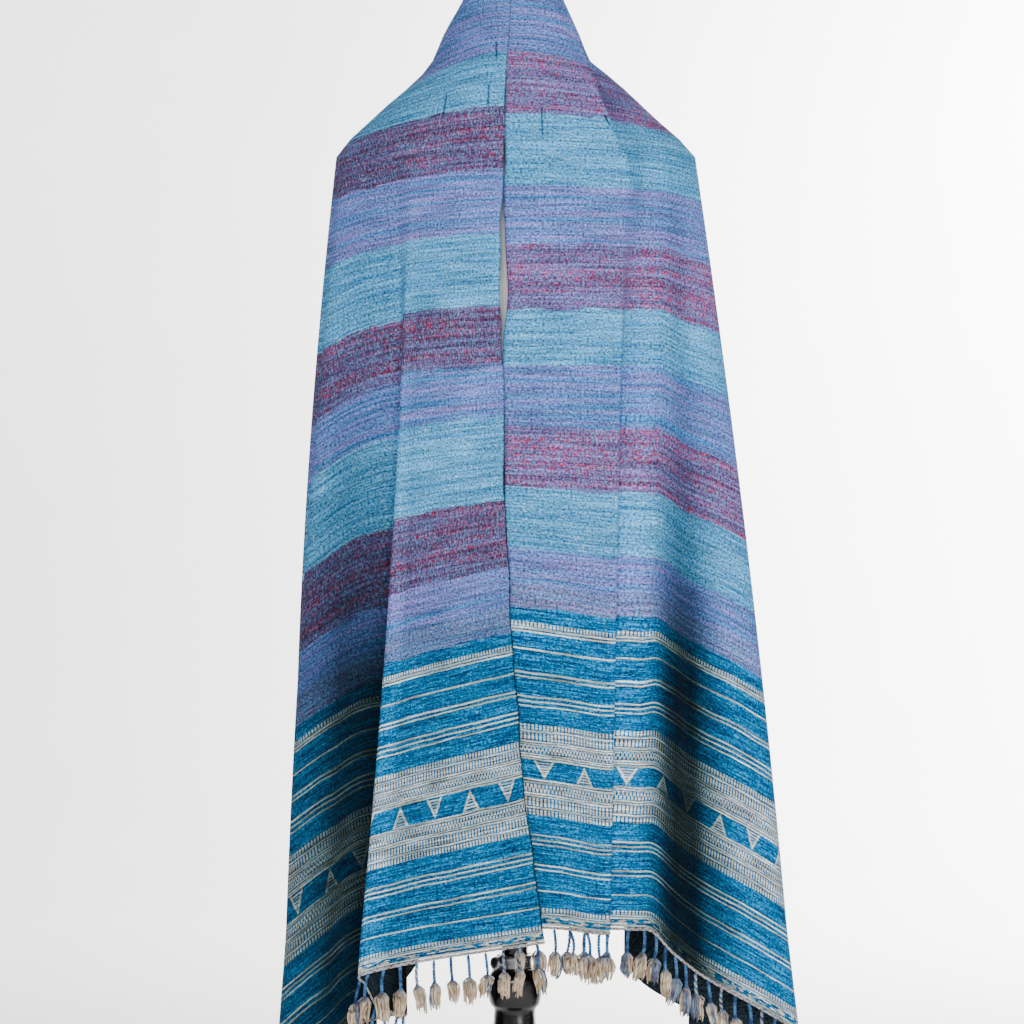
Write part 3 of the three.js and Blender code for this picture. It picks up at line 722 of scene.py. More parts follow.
def make_piece(
    name: str, points: np.ndarray, faces: Sequence[Sequence[int]],
    materials: Sequence[bpy.types.Material]
) -> bpy.types.Object:
    """A smooth-shaded mesh object.

    Args:
        name: The piece's name.
        points: Points in millimetres.
        faces: Corner numbers of each face.
        materials: Its material slots.

    Returns:
        The object, linked to the scene.
    """
    mesh = bpy.data.meshes.new(name)
    mesh.from_pydata(
        (np.asarray(points) * MM).tolist(), [], [list(map(int, face)) for face in faces]
    )
    mesh.shade_smooth()
    for material in materials:
        mesh.materials.append(material)
    piece = bpy.data.objects.new(name, mesh)
    bpy.context.scene.collection.objects.link(piece)
    return piece


def store_vectors(piece: bpy.types.Object, name: str, values: np.ndarray) -> None:
    """Stores three numbers at each point of a piece for its material."""
    layer = piece.data.attributes.new(name, "FLOAT_VECTOR", "POINT")
    layer.data.foreach_set("vector", np.asarray(values, np.float32).ravel())


def turned(
    name: str, profile: Sequence[tuple[float, float]], material: bpy.types.Material, sides: int = 96
) -> bpy.types.Object:
    """A turned piece about the vertical axis.

    Args:
        name: The piece's name.
        profile: Radius and height from bottom to top, in millimetres. Ends have radius 0.
        material: Its finish.
        sides: Points in a full turn.

    Returns:
        The closed piece.
    """
    points: list[tuple[float, float, float]] = []
    rings: list[list[int]] = []
    for radius, height in profile:
        if radius < 0.001:
            rings.append([len(points)] * sides)
            points.append((0.0, 0.0, height))
            continue
        rings.append(list(range(len(points), len(points) + sides)))
        turn = 2 * math.pi * np.arange(sides) / sides
        points += [(radius * math.cos(a), radius * math.sin(a), height) for a in turn]
    faces = []
    for low, high in zip(rings[:-1], rings[1:]):
        for i in range(sides):
            j = (i + 1) % sides
            corners = list(dict.fromkeys((low[i], low[j], high[j], high[i])))
            if len(corners) > 2:
                faces.append(corners)
    return make_piece(name, np.array(points), faces, [material])


def rounded(
    profile: Sequence[tuple[float, float]], turn: float = 1.2, steps: int = 3
) -> list[tuple[float, float]]:
    """Rounds the corners of a turning profile.

    Args:
        profile: Radius and height of each corner.
        turn: How far from the corner the round starts, in millimetres.
        steps: Points in each round.

    Returns:
        The profile with a small arc at each corner.
    """
    points = [np.array(p, float) for p in profile]
    out = [tuple(points[0])]
    for before, corner, after in zip(points[:-2], points[1:-1], points[2:]):
        back, ahead = before - corner, after - corner
        reach = min(turn, 0.4 * np.linalg.norm(back), 0.4 * np.linalg.norm(ahead))
        start = corner + back / max(np.linalg.norm(back), 1e-9) * reach
        stop = corner + ahead / max(np.linalg.norm(ahead), 1e-9) * reach
        for f in np.linspace(0, 1, steps + 1):
            out.append(tuple((1 - f) ** 2 * start + 2 * f * (1 - f) * corner + f * f * stop))
    out.append(tuple(points[-1]))
    return out


def smooth_profile(
    profile: Sequence[tuple[float, float]], steps: int = 6
) -> list[tuple[float, float]]:
    """A flowing turning profile through the given points.

    Args:
        profile: Radius and height of each point.
        steps: Spans between two neighbouring points.

    Returns:
        The denser profile.
    """
    points = np.array(profile, float)
    knots = np.concatenate([[0], np.cumsum(np.linalg.norm(np.diff(points, axis=0), axis=1))])
    slopes = [monotone_slopes(knots, points[:, axis]) for axis in (0, 1)]
    fine = np.concatenate(
        [
            np.linspace(a, b, steps, endpoint=False) for a, b in zip(knots[:-1], knots[1:])
        ] + [knots[-1:]]
    )
    columns = [hermite(knots, points[:, axis], slopes[axis], fine) for axis in (0, 1)]
    return [tuple(pair) for pair in zip(*columns)]


# ---- curves through tables ----


def monotone_slopes(knots: np.ndarray, values: np.ndarray) -> np.ndarray:
    """Slopes of a cubic that never overshoots its table.

    Args:
        knots: Rising places.
        values: Value at each place.

    Returns:
        The slope at each place.
    """
    steps = np.diff(values) / np.diff(knots)
    slopes = np.zeros_like(values, float)
    slopes[0], slopes[-1] = steps[0], steps[-1]
    for i in range(1, len(values) - 1):
        if steps[i - 1] * steps[i] > 0:
            slopes[i] = 2 * steps[i - 1] * steps[i] / (steps[i - 1] + steps[i])
    return slopes


def chord_slopes(knots: np.ndarray, values: np.ndarray) -> np.ndarray:
    """Slopes along the chord from each point's neighbours."""
    before = np.maximum(np.arange(len(values)) - 1, 0)
    after = np.minimum(np.arange(len(values)) + 1, len(values) - 1)
    return (values[after] - values[before]) / (knots[after] - knots[before])


def hermite(
    knots: np.ndarray, values: np.ndarray, slopes: np.ndarray, places: np.ndarray
) -> np.ndarray:
    """Evaluates a cubic through a table.

    Args:
        knots: Rising places of the table.
        values: Its values.
        slopes: Its slopes.
        places: Where to evaluate.

    Returns:
        The value at each place.
    """
    i = np.clip(np.searchsorted(knots, places, side="left") - 1, 0, len(knots) - 2)
    span = knots[i + 1] - knots[i]
    f = (places - knots[i]) / span
    bend = (1 + 2 * f) * (1 - f) ** 2 * values[i] + f * (1 - f) ** 2 * slopes[i] * span
    return bend + f * f * (3 - 2 * f) * values[i + 1] + f * f * (f - 1) * slopes[i + 1] * span


# ---- drape ----


@dataclass(frozen=True)
class Level:
    """A level section of the hood: drop below the peak, half widths, depths and roundness."""

    drop: float
    left: float
    right: float
    front: float
    back: float
    round: float


HOOD = [
    Level(0, 1, 1, 1, 1, 2),
    Level(6, 15, 15, 13, 13, 2),
    Level(25, 30, 29, 23, 24, 2),
    Level(70, 53, 50, 37, 36, 1.95),
    Level(110, 75, 68, 55, 50, 1.9),
    Level(136, 86, 79, 69, 58, 1.85),
    Level(152, 99, 100, 77, 63, 1.8),
    Level(183, 135, 134, 88, 71, 1.7),
    Level(208, 162, 161, 94, 76, 1.62),
    Level(224, 179, 180, 97, 79, 1.6),
    Level(234, 185, 187, 98, 80, 1.6),
]


@dataclass(frozen=True)
class Fold:
    """A fall line of the drape, as the cloth's plan position at the end of the reference fall.

    ring is its place on the shoulder section, along and across are the cloth that one millimetre
    of fall takes up, bulge moves the middle of the fall outwards, and hidden is how far a knife
    pleat returns under itself.
    """

    ring: float
    out: float
    deep: float
    along: float
    across: float
    bulge: float = 0.0
    hidden: float = 0.0


RIGHT_FOLDS = [
    Fold(0, -6, -112, 1, 0, -5),
    Fold(0.13, 47, -119, 0.995, -0.01, -2),
    Fold(0.262, 91, -121, 0.985, -0.02, 0, 38),
    Fold(0.349, 99, -105, 0.985, 0.032),
    Fold(0.372, 129, -108, 0.985, 0.055, 1),
    Fold(0.4, 160, -91, 0.952, 0.095, 2),
    Fold(0.43, 187, -73, 0.925, 0.126, 3),
    Fold(0.468, 238, -69, 0.888, 0.177, 5),
    Fold(0.497, 275, -50, 0.857, 0.22, 6),
    Fold(0.507, 274, -31, 0.848, 0.255, 6),
    Fold(0.54, 182, 17, 0.825, 0.36),
    Fold(0.6, 272, 86, 0.781, 0.541, 4),
    Fold(0.7, 119, 92, 0.68, 0.625),
    Fold(0.778, 212, 194, 0.575, 0.74, 4),
    Fold(0.8, 189, 216, 0.535, 0.77, 3),
    Fold(0.852, 112, 148, 0.43, 0.855),
    Fold(0.87, 90, 160, 0.395, 0.87),
    Fold(0.915, 121, 254, 0.275, 0.925),
    Fold(0.932, 91, 266, 0.225, 0.94),
    Fold(0.964, 50, 172, 0.13, 0.97),
    Fold(0.976, 27, 176, 0.09, 0.98),
    Fold(1, 0, 246, 0, 1),
]
LEFT_FOLDS = [
    Fold(0, -16, -126, 1, 0, 8),
    Fold(0.12, 66, -132, 0.992, 0.04, 3),
    Fold(0.25, 150, -132, 0.972, 0.083, -7, 42),
    Fold(0.327, 155, -112, 0.925, 0.149, -3),
    Fold(0.39, 190, -95, 0.885, 0.168, 3),
    Fold(0.455, 232, -62, 0.828, 0.19, 8),
    Fold(0.485, 221, -30, 0.82, 0.235, 8),
    Fold(0.512, 227, -6, 0.815, 0.28, 12),
    Fold(0.55, 148, 14, 0.81, 0.39),
    Fold(0.6, 234, 84, 0.8, 0.538, 2),
    Fold(0.7, 103, 90, 0.68, 0.63),
    Fold(0.775, 201, 181, 0.575, 0.745, 3),
    Fold(0.798, 178, 204, 0.53, 0.775, 2),
    Fold(0.85, 106, 140, 0.43, 0.855),
    Fold(0.868, 84, 153, 0.395, 0.87),
    Fold(0.912, 114, 240, 0.28, 0.92),
    Fold(0.93, 86, 254, 0.23, 0.935),
    Fold(0.962, 49, 168, 0.135, 0.965),
    Fold(0.976, 28, 174, 0.09, 0.98),
    Fold(1, 0, 246, 0, 1),
]


@dataclass(frozen=True)
class Crease:
    """A soft trough or ridge pressed into the cloth along its fall.

    place is its distance along the fold plan, lean how far it drifts over the fall, start and stop
    the fall it spans, width its half width and lift its height, minus for a trough.
    """

    place: float
    lean: float
    start: float
    stop: float
    width: float
    lift: float


RIGHT_CREASES = [
    Crease(22, 6, 40, 520, 9, -1.2), Crease(48, -8, 120, 760, 13, 1.5),
    Crease(70, 4, 330, 900, 8, -1.1),
    Crease(182, 10, 0, 420, 10, 1.6), Crease(205, -6, 260, 820, 9, -1.4),
    Crease(248, 12, 60, 640, 12, 1.8),
    Crease(282, -8, 350, 980, 10, -1.6), Crease(318, 6, 150, 700, 9, 1.3),
    Crease(352, 10, 500, 1000, 9, -1.2),
    Crease(470, 14, 100, 700, 14, 2), Crease(690, -20, 80, 640, 16, -2),
    Crease(860, 16, 200, 600, 14, 1.8),
]
LEFT_CREASES = [
    Crease(18, -4, 60, 480, 9, 1.1), Crease(44, 10, 180, 820, 12, -1.6),
    Crease(80, -6, 30, 560, 12, 1.5),
    Crease(112, 8, 420, 980, 10, -1.3), Crease(140, -6, 120, 620, 9, 1.4),
    Crease(262, 10, 20, 520, 11, -1.7),
    Crease(292, -10, 300, 900, 10, 1.6), Crease(326, 6, 120, 560, 9, -1.2),
    Crease(430, 12, 200, 640, 12, 1.6),
    Crease(640, -16, 120, 600, 15, -2), Crease(820, 18, 240, 560, 13, 1.8),
]

# Painted light and shade along each half, added to the cloth's colour: lighter where the cloth lies
# single, darker deep in the folds. Each row holds the place on the fold plan, then what is added on
# the hood, in the middle and near the hem.
RIGHT_PAINTED_SHADES = [
    (0, 0, 0, -0.06), (92, 0, 0, -0.06), (98, 0.04, 0.06, 0.04), (150, -0.1, -0.1, -0.1),
    (186, 0.02, 0.2, 0.24),
    (208, 0, 0.16, 0.14), (216, 0, 0.04, -0.08), (228, 0, -0.05, -0.45), (244, -0.05, -0.15, -0.88),
    (258, -0.05, -0.2, -0.955), (288, -0.05, -0.2, -0.95), (308, -0.05, 0, -0.62),
    (335, 0, 0.06, 0),
    (400, 0.05, 0.06, 0.08),
]
LEFT_PAINTED_SHADES = [
    (0, 0, 0, -0.22), (142, 0, 0, -0.22), (150, 0, 0.1, 0.1), (166, 0, 0.14, 0.14),
    (174, 0, -0.05, -0.2),
    (215, -0.06, -0.12, -0.94), (270, -0.06, -0.16, -0.945), (300, -0.05, -0.16, -0.88),
    (325, 0, -0.08, -0.68),
    (345, 0.02, -0.02, -0.5), (365, 0.04, 0, -0.36), (400, 0, 0, -0.2),
]


@dataclass(frozen=True)
class ShoulderFold:
    """The fold over the right shoulder.

    edge is where it runs, as height and place across, low and high the heights it spans, and rise
    and fade how it starts and ends there. Inside the edge the cloth lifts and takes a painted
    highlight; beyond it the cloth sinks and takes a painted shadow. Each has how far it spreads.
    """

    edge: tuple[tuple[float, float], ...] = (
        (1260, 128), (1343, 125), (1393, 110), (1443, 88), (1483, 74), (1515, 64), (1560, 50),
    )
    low: float = 1325.0
    rise: float = 90.0
    high: float = 1590.0
    fade: float = 70.0
    front: float = 25.0
    lift: float = 3.6
    lift_spread: float = 16.0
    sink: float = 2.0
    sink_spread: float = 26.0
    painted_highlight: float = 0.14
    painted_highlight_spread: float = 7.0
    painted_shadow: float = 0.42
    painted_shadow_spread: float = 24.0

    def press(self, points: np.ndarray) -> tuple[np.ndarray, np.ndarray]:
        """How the fold lifts the cloth, and where it paints a highlight and a shadow on it.

        Args:
            points: Grid of points of the middle surface.

        Returns:
            The lift outwards, and the painted highlight or painted shadow added to the lightness,
            at each point.
        """
        across, depth, level = points[:, :, 0], points[:, :, 1], points[:, :, 2]
        beyond = across - np.interp(level, *zip(*self.edge))
        height = np.clip((level - self.low) / self.rise, 0, 1) * np.clip(
            (self.high - level) / self.fade, 0, 1
        )
        front = height * np.clip(-depth / self.front, 0, 1)
        lift = self.lift * np.exp(beyond / self.lift_spread)
        sink = -self.sink * np.exp(-beyond / self.sink_spread)
        painted_highlight = self.painted_highlight * np.exp(beyond / self.painted_highlight_spread)
        painted_shadow = -self.painted_shadow * np.exp(-np.abs(beyond) / self.painted_shadow_spread)
        return front * np.where(beyond < 0, lift, sink), front * np.where(beyond < 0, painted_highlight, painted_shadow)


CLOTH_WIDTH = 760.0
PEAK_Z = 1632.0
SHOULDER_Z = 1398.0
FALL = 800.0
RING_LENGTH = 416.0
SHOULDER_FRACTION = 0.505
FRONT_REACH = 255.0
BACK_REACH = 245.0


@dataclass
class Half:
    """One half of the drape, from the front selvage round to the centre back.

    The tables after the folds hold a place and an amount: length_shift, width_shift, hem_extra and
    the painted shades (painted light and shade) go by the distance along the fold plan, opening by
    the fall, and rows_down by the cloth's length up to rows_end.
    """

    side: int
    length: float
    edge: float
    reach: float
    folds: list[Fold]
    creases: list[Crease]
    slack: float
    slack_fall: float
    painted_shades: list[tuple[float, float, float, float]]
    length_shift: list[tuple[float, float]]
    width_shift: list[tuple[float, float]]
    opening: list[tuple[float, float]]
    overlap: float
    wave: float
    hem_extra: list[tuple[float, float]]
    rows_down: list[tuple[float, float]]
    rows_end: float
    pleat_turn: float = 3.0
    pleat_layer: float = 7.0
    section_steps: int = 240

    def __post_init__(self) -> None:
        """Works out the fold plan's knots and slopes."""
        self.front_fold = next(fold.ring for fold in self.folds if fold.hidden > 0)
        rows = self.expanded()
        self.keys = ("ring", "out", "deep", "along", "across", "bulge")
        self.table = {
            key: np.array([getattr(row, key) for row in rows], float) for key in self.keys
        }
        steps = np.hypot(np.diff(self.table["out"]), np.diff(self.table["deep"]))
        self.knots = np.concatenate([[0], np.cumsum(steps)])
        self.slopes = {
            key: chord_slopes(self.knots, values) if key in (
                "out", "deep", "bulge"
            ) else monotone_slopes(self.knots, values)
            for key, values in self.table.items()
        }

    def expanded(self) -> list[Fold]:
        """The fold table with each knife pleat as its two turns and the return between them."""
        rows: list[Fold] = []
        for index, fold in enumerate(self.folds):
            rows.append(fold)
            if not fold.hidden:
                continue
            after = self.folds[index + 1]
            turns = [
                (0.06, self.pleat_turn, 0.45), (0.12, 0.0, 0.9),
                (0.48, self.pleat_turn - fold.hidden, 1.0),
                (0.54, -fold.hidden, 1.4), (0.6, self.pleat_turn - fold.hidden, 1.85),
            ]
            for share, out, layers in turns:
                mixed = {
                    key: getattr(fold, key) * (1 - share) + getattr(after, key) * share
                    for key in ("ring", "along", "across", "bulge")
                }
                rows.append(
                    Fold(out=fold.out + out, deep=fold.deep + layers * self.pleat_layer, **mixed)
                )
        return rows

    def at(self, places: np.ndarray) -> dict[str, np.ndarray]:
        """Every column of the fold table at distances along the plan."""
        return {
            key: hermite(self.knots, self.table[key], self.slopes[key], places) for key in self.keys
        }

    def hood_plan(self, drops: np.ndarray, ring: np.ndarray) -> np.ndarray:
        """Plan positions on the hood.

        Args:
            drops: Drop of each level below the peak.
            ring: Place of each column round the sections.

        Returns:
            Out and deep for each column and level, as an array of columns, levels and two.
        """
        key = "right" if self.side > 0 else "left"
        depth = np.sqrt([level.drop for level in HOOD])
        columns = {}
        for name in (key, "front", "back", "round"):
            values = np.array([getattr(level, name) for level in HOOD], float)
            columns[name] = hermite(depth, values, monotone_slopes(depth, values), np.sqrt(drops))
        angle = np.pi * (np.linspace(0, 1, self.section_steps + 1) - 0.5)
        plan = np.zeros((len(ring), len(drops), 2))
        for j in range(len(drops)):
            power = 2 / columns["round"][j]
            depths = np.where(angle < 0, columns["front"][j], columns["back"][j])
            deep = np.sign(angle) * depths * np.abs(np.sin(angle)) ** power
            out = columns[key][j] * np.maximum(np.cos(angle), 0) ** power
            arc = np.concatenate([[0], np.cumsum(np.hypot(np.diff(out), np.diff(deep)))])
            plan[:, j, 0] = np.interp(ring, arc / arc[-1], out)
            plan[:, j, 1] = np.interp(ring, arc / arc[-1], deep)
            share = columns["front"][j] / HOOD[-1].front
            plan[:, j, 0] += self.edge * share * np.maximum(0, 1 - ring / self.front_fold)
        return plan

    def at_shoulder(self, ring: np.ndarray) -> tuple[np.ndarray, np.ndarray]:
        """Cloth length and width where each column meets the shoulder section."""
        front = FRONT_REACH + (self.reach - FRONT_REACH) * ring / SHOULDER_FRACTION
        turn = np.clip((ring - SHOULDER_FRACTION) / (1 - SHOULDER_FRACTION), 0, 1) * np.pi / 2
        side_width = SHOULDER_FRACTION * RING_LENGTH
        back = self.reach * np.cos(turn)
        width = np.where(
            ring <= SHOULDER_FRACTION, ring * RING_LENGTH,
            side_width + (BACK_REACH - side_width) * np.sin(turn)
        )
        return np.where(ring <= SHOULDER_FRACTION, front, back), width

    def reach_of(self, places: np.ndarray) -> tuple[dict[str, np.ndarray], np.ndarray, np.ndarray]:
        """The fold table, and the fall to the end hem and to the far selvage, along the plan."""
        row = self.at(places)
        start, width = self.at_shoulder(row["ring"])
        end = self.length + np.interp(places, *zip(*self.hem_extra))
        hem = np.where(
            row["along"] > 0.001, (end - start) / np.maximum(row["along"], 0.001), np.inf
        )
        selvage = np.where(
            row["across"] > 0.001, (CLOTH_WIDTH - width) / np.maximum(row["across"], 0.001), np.inf
        )
        return row, hem, selvage

    def corner(self) -> float:
        """Distance along the plan of the cloth's outer corner."""
        places = np.linspace(0, self.knots[-1], 6001)
        _, hem, selvage = self.reach_of(places)
        return float(places[np.argmax(hem >= selvage)])

    def slack_at(self, ring: np.ndarray, fall: np.ndarray) -> np.ndarray:
        """How far the weft is drawn up over the shoulder, in millimetres of cloth length."""
        profile = np.where(
            ring <= SHOULDER_FRACTION, (ring / SHOULDER_FRACTION) ** 2,
            np.cos(np.clip((ring - SHOULDER_FRACTION) / (1 - SHOULDER_FRACTION), 0, 1) * np.pi / 2)
        )
        return self.slack * profile * np.exp(-fall / self.slack_fall)

    def surface(
        self, places: np.ndarray, drops: np.ndarray, shares: np.ndarray
    ) -> tuple[np.ndarray, np.ndarray]:
        """The draped middle surface.

        Args:
            places: Distances along the fold plan, one for each column.
            drops: Levels of the hood.
            shares: Share of each column's fall for the rows below the shoulder.

        Returns:
            Points, and the cloth's length, width and painted light and shade at each, as columns,
            rows and three.
        """
        row, hem, selvage = self.reach_of(places)
        end = np.minimum(hem, selvage)
        ring = row["ring"]
        plan = self.hood_plan(drops, ring)
        hood = np.dstack(
            [plan[:, :, 0], plan[:, :, 1], np.broadcast_to(PEAK_Z - drops, plan.shape[:2])]
        )
        start = plan[:, -1]
        fall = end[:, None] * shares[None, :]
        share = fall / FALL
        run = np.stack([row["out"], row["deep"]], 1) - start
        hood[:, :, 0] += self.edge_shift(places, np.broadcast_to(drops - drops[-1], hood.shape[:2]))
        length = np.hypot(run[:, 0], run[:, 1])
        out = start[:, 0:1] + run[:, 0:1] * share + row["bulge"][:, None] * np.maximum(
            0, 4 * share * (1 - share)
        )
        out = out + self.edge_shift(places, fall)
        deep = start[:, 1:2] + run[:, 1:2] * share
        down = SHOULDER_Z - fall * np.sqrt(1 - (length / FALL) ** 2)[:, None]
        points = np.concatenate([hood, np.dstack([out, deep, down])], axis=1)
        along0, across0 = self.at_shoulder(ring)
        steps = np.linalg.norm(np.diff(hood, axis=1), axis=2)
        path = np.concatenate([np.zeros((len(ring), 1)), np.cumsum(steps, axis=1)], axis=1)
        top_reach = np.hypot(np.hypot(hood[:, 0, 0], hood[:, 0, 1]), drops[0])[:, None]
        path = (path + top_reach) / (path[:, -1:] + top_reach)
        top = along0 - self.slack_at(ring, np.zeros_like(ring))
        hood_length = path * top[:, None]
        hood_width = path * across0[:, None]
        fall_length = along0[:, None] + row["along"][:, None] * fall - self.slack_at(
            ring[:, None], fall
        )
        fall_width = across0[:, None] + row["across"][:, None] * fall
        lengths = np.concatenate([hood_length, fall_length], axis=1)
        widths = np.concatenate([hood_width, fall_width], axis=1)
        all_fall = np.concatenate([np.zeros_like(hood_length), fall], axis=1)
        lengths, widths = self.drawn(places, lengths, widths)
        light = self.painted_light_and_shade(places, all_fall)
        points[:, :, 0] *= self.side
        cloth = np.dstack([lengths * self.side, widths, light])
        return points, cloth

    def drawn(
        self, places: np.ndarray, lengths: np.ndarray, widths: np.ndarray
    ) -> tuple[np.ndarray, np.ndarray]:
        """Cloth places with the weft drawn a little up or down, most in the border.

        Args:
            places: Distances along the fold plan.
            lengths: Cloth length at each point.
            widths: Cloth width at each point.

        Returns:
            The corrected lengths and widths.
        """
        share = np.interp(lengths, [470, 700, 900, 990, 1030], [0, 1.15, 1, 0.75, 0])
        along = np.interp(places, *zip(*self.length_shift))[:, None]
        across = np.interp(places, *zip(*self.width_shift))[:, None]
        down = np.interp(lengths, *zip(*self.rows_down)) * np.clip(
            (self.rows_end - places) / 45, 0, 1
        )[:, None]
        down = down + np.interp(
            lengths, [600, 760, 860], [0, 0.6, 1]
        ) * np.interp(places, *zip(*self.hem_extra))[:, None]
        return lengths + share * along - down, widths + np.clip(lengths / 700, 0, 1) * across

    def edge_shift(self, places: np.ndarray, fall: np.ndarray) -> np.ndarray:
        """How far the front edge leans and ripples away from its fall line.

        Args:
            places: Distances along the fold plan.
            fall: Fall below the shoulder at each point, minus on the hood.

        Returns:
            The shift outwards in millimetres.
        """
        lean = -self.overlap * np.clip(
            (fall - 430) / 340, 0, 1.1
        ) ** 2 * np.maximum(0, 1 - places / 150)[:, None]
        gap = np.interp(fall, *zip(*self.opening)) * np.maximum(0, 1 - places / 80)[:, None]
        lean = lean + gap
        ripple = np.sin(
            fall / 23 + self.side
        ) + 0.7 * np.sin(fall / 10.3) + 0.8 * np.sin(fall / 57 + 2)
        fade = np.exp(-places / 7)[:, None] * np.clip((fall + 200) / 120, 0, 1)
        return lean + self.wave * ripple * fade

    def painted_light_and_shade(self, places: np.ndarray, fall: np.ndarray) -> np.ndarray:
        """Painted light where the cloth lies single, and painted shade deep in a fold.

        Args:
            places: Distances along the fold plan.
            fall: Fall below the shoulder at each point.

        Returns:
            What is added to the lightness of 1.
        """
        place, hood, middle, low = (np.array(column, float) for column in zip(*self.painted_shades))
        rows = [np.interp(places, place, column)[:, None] for column in (hood, middle, low)]
        upper = np.clip(fall / 240, 0, 1)
        lower = np.clip((fall - 240) / 300, 0, 1)
        return rows[0] * (1 - upper) + (rows[1] * (1 - lower) + rows[2] * lower) * upper

    def relief(self, places: np.ndarray, fall: np.ndarray) -> np.ndarray:
        """Height of the soft creases at each point, outwards in millimetres."""
        height = np.zeros_like(fall)
        for crease in self.creases:
            drift = crease.place + crease.lean * fall / FALL
            across = np.exp(-(((places[:, None] - drift) / crease.width) ** 2))
            middle, reach = (crease.start + crease.stop) / 2, (crease.stop - crease.start) / 2
            height += crease.lift * across * np.exp(-(((fall - middle) / reach) ** 4))
        return height


@dataclass(frozen=True)
class ClothMesh:
    """How finely the shawl is built, and how thick it is."""

    pitch: float = 6.2
    hood_rows: int = 24
    fall_rows: int = 62
    wall: float = 1.1


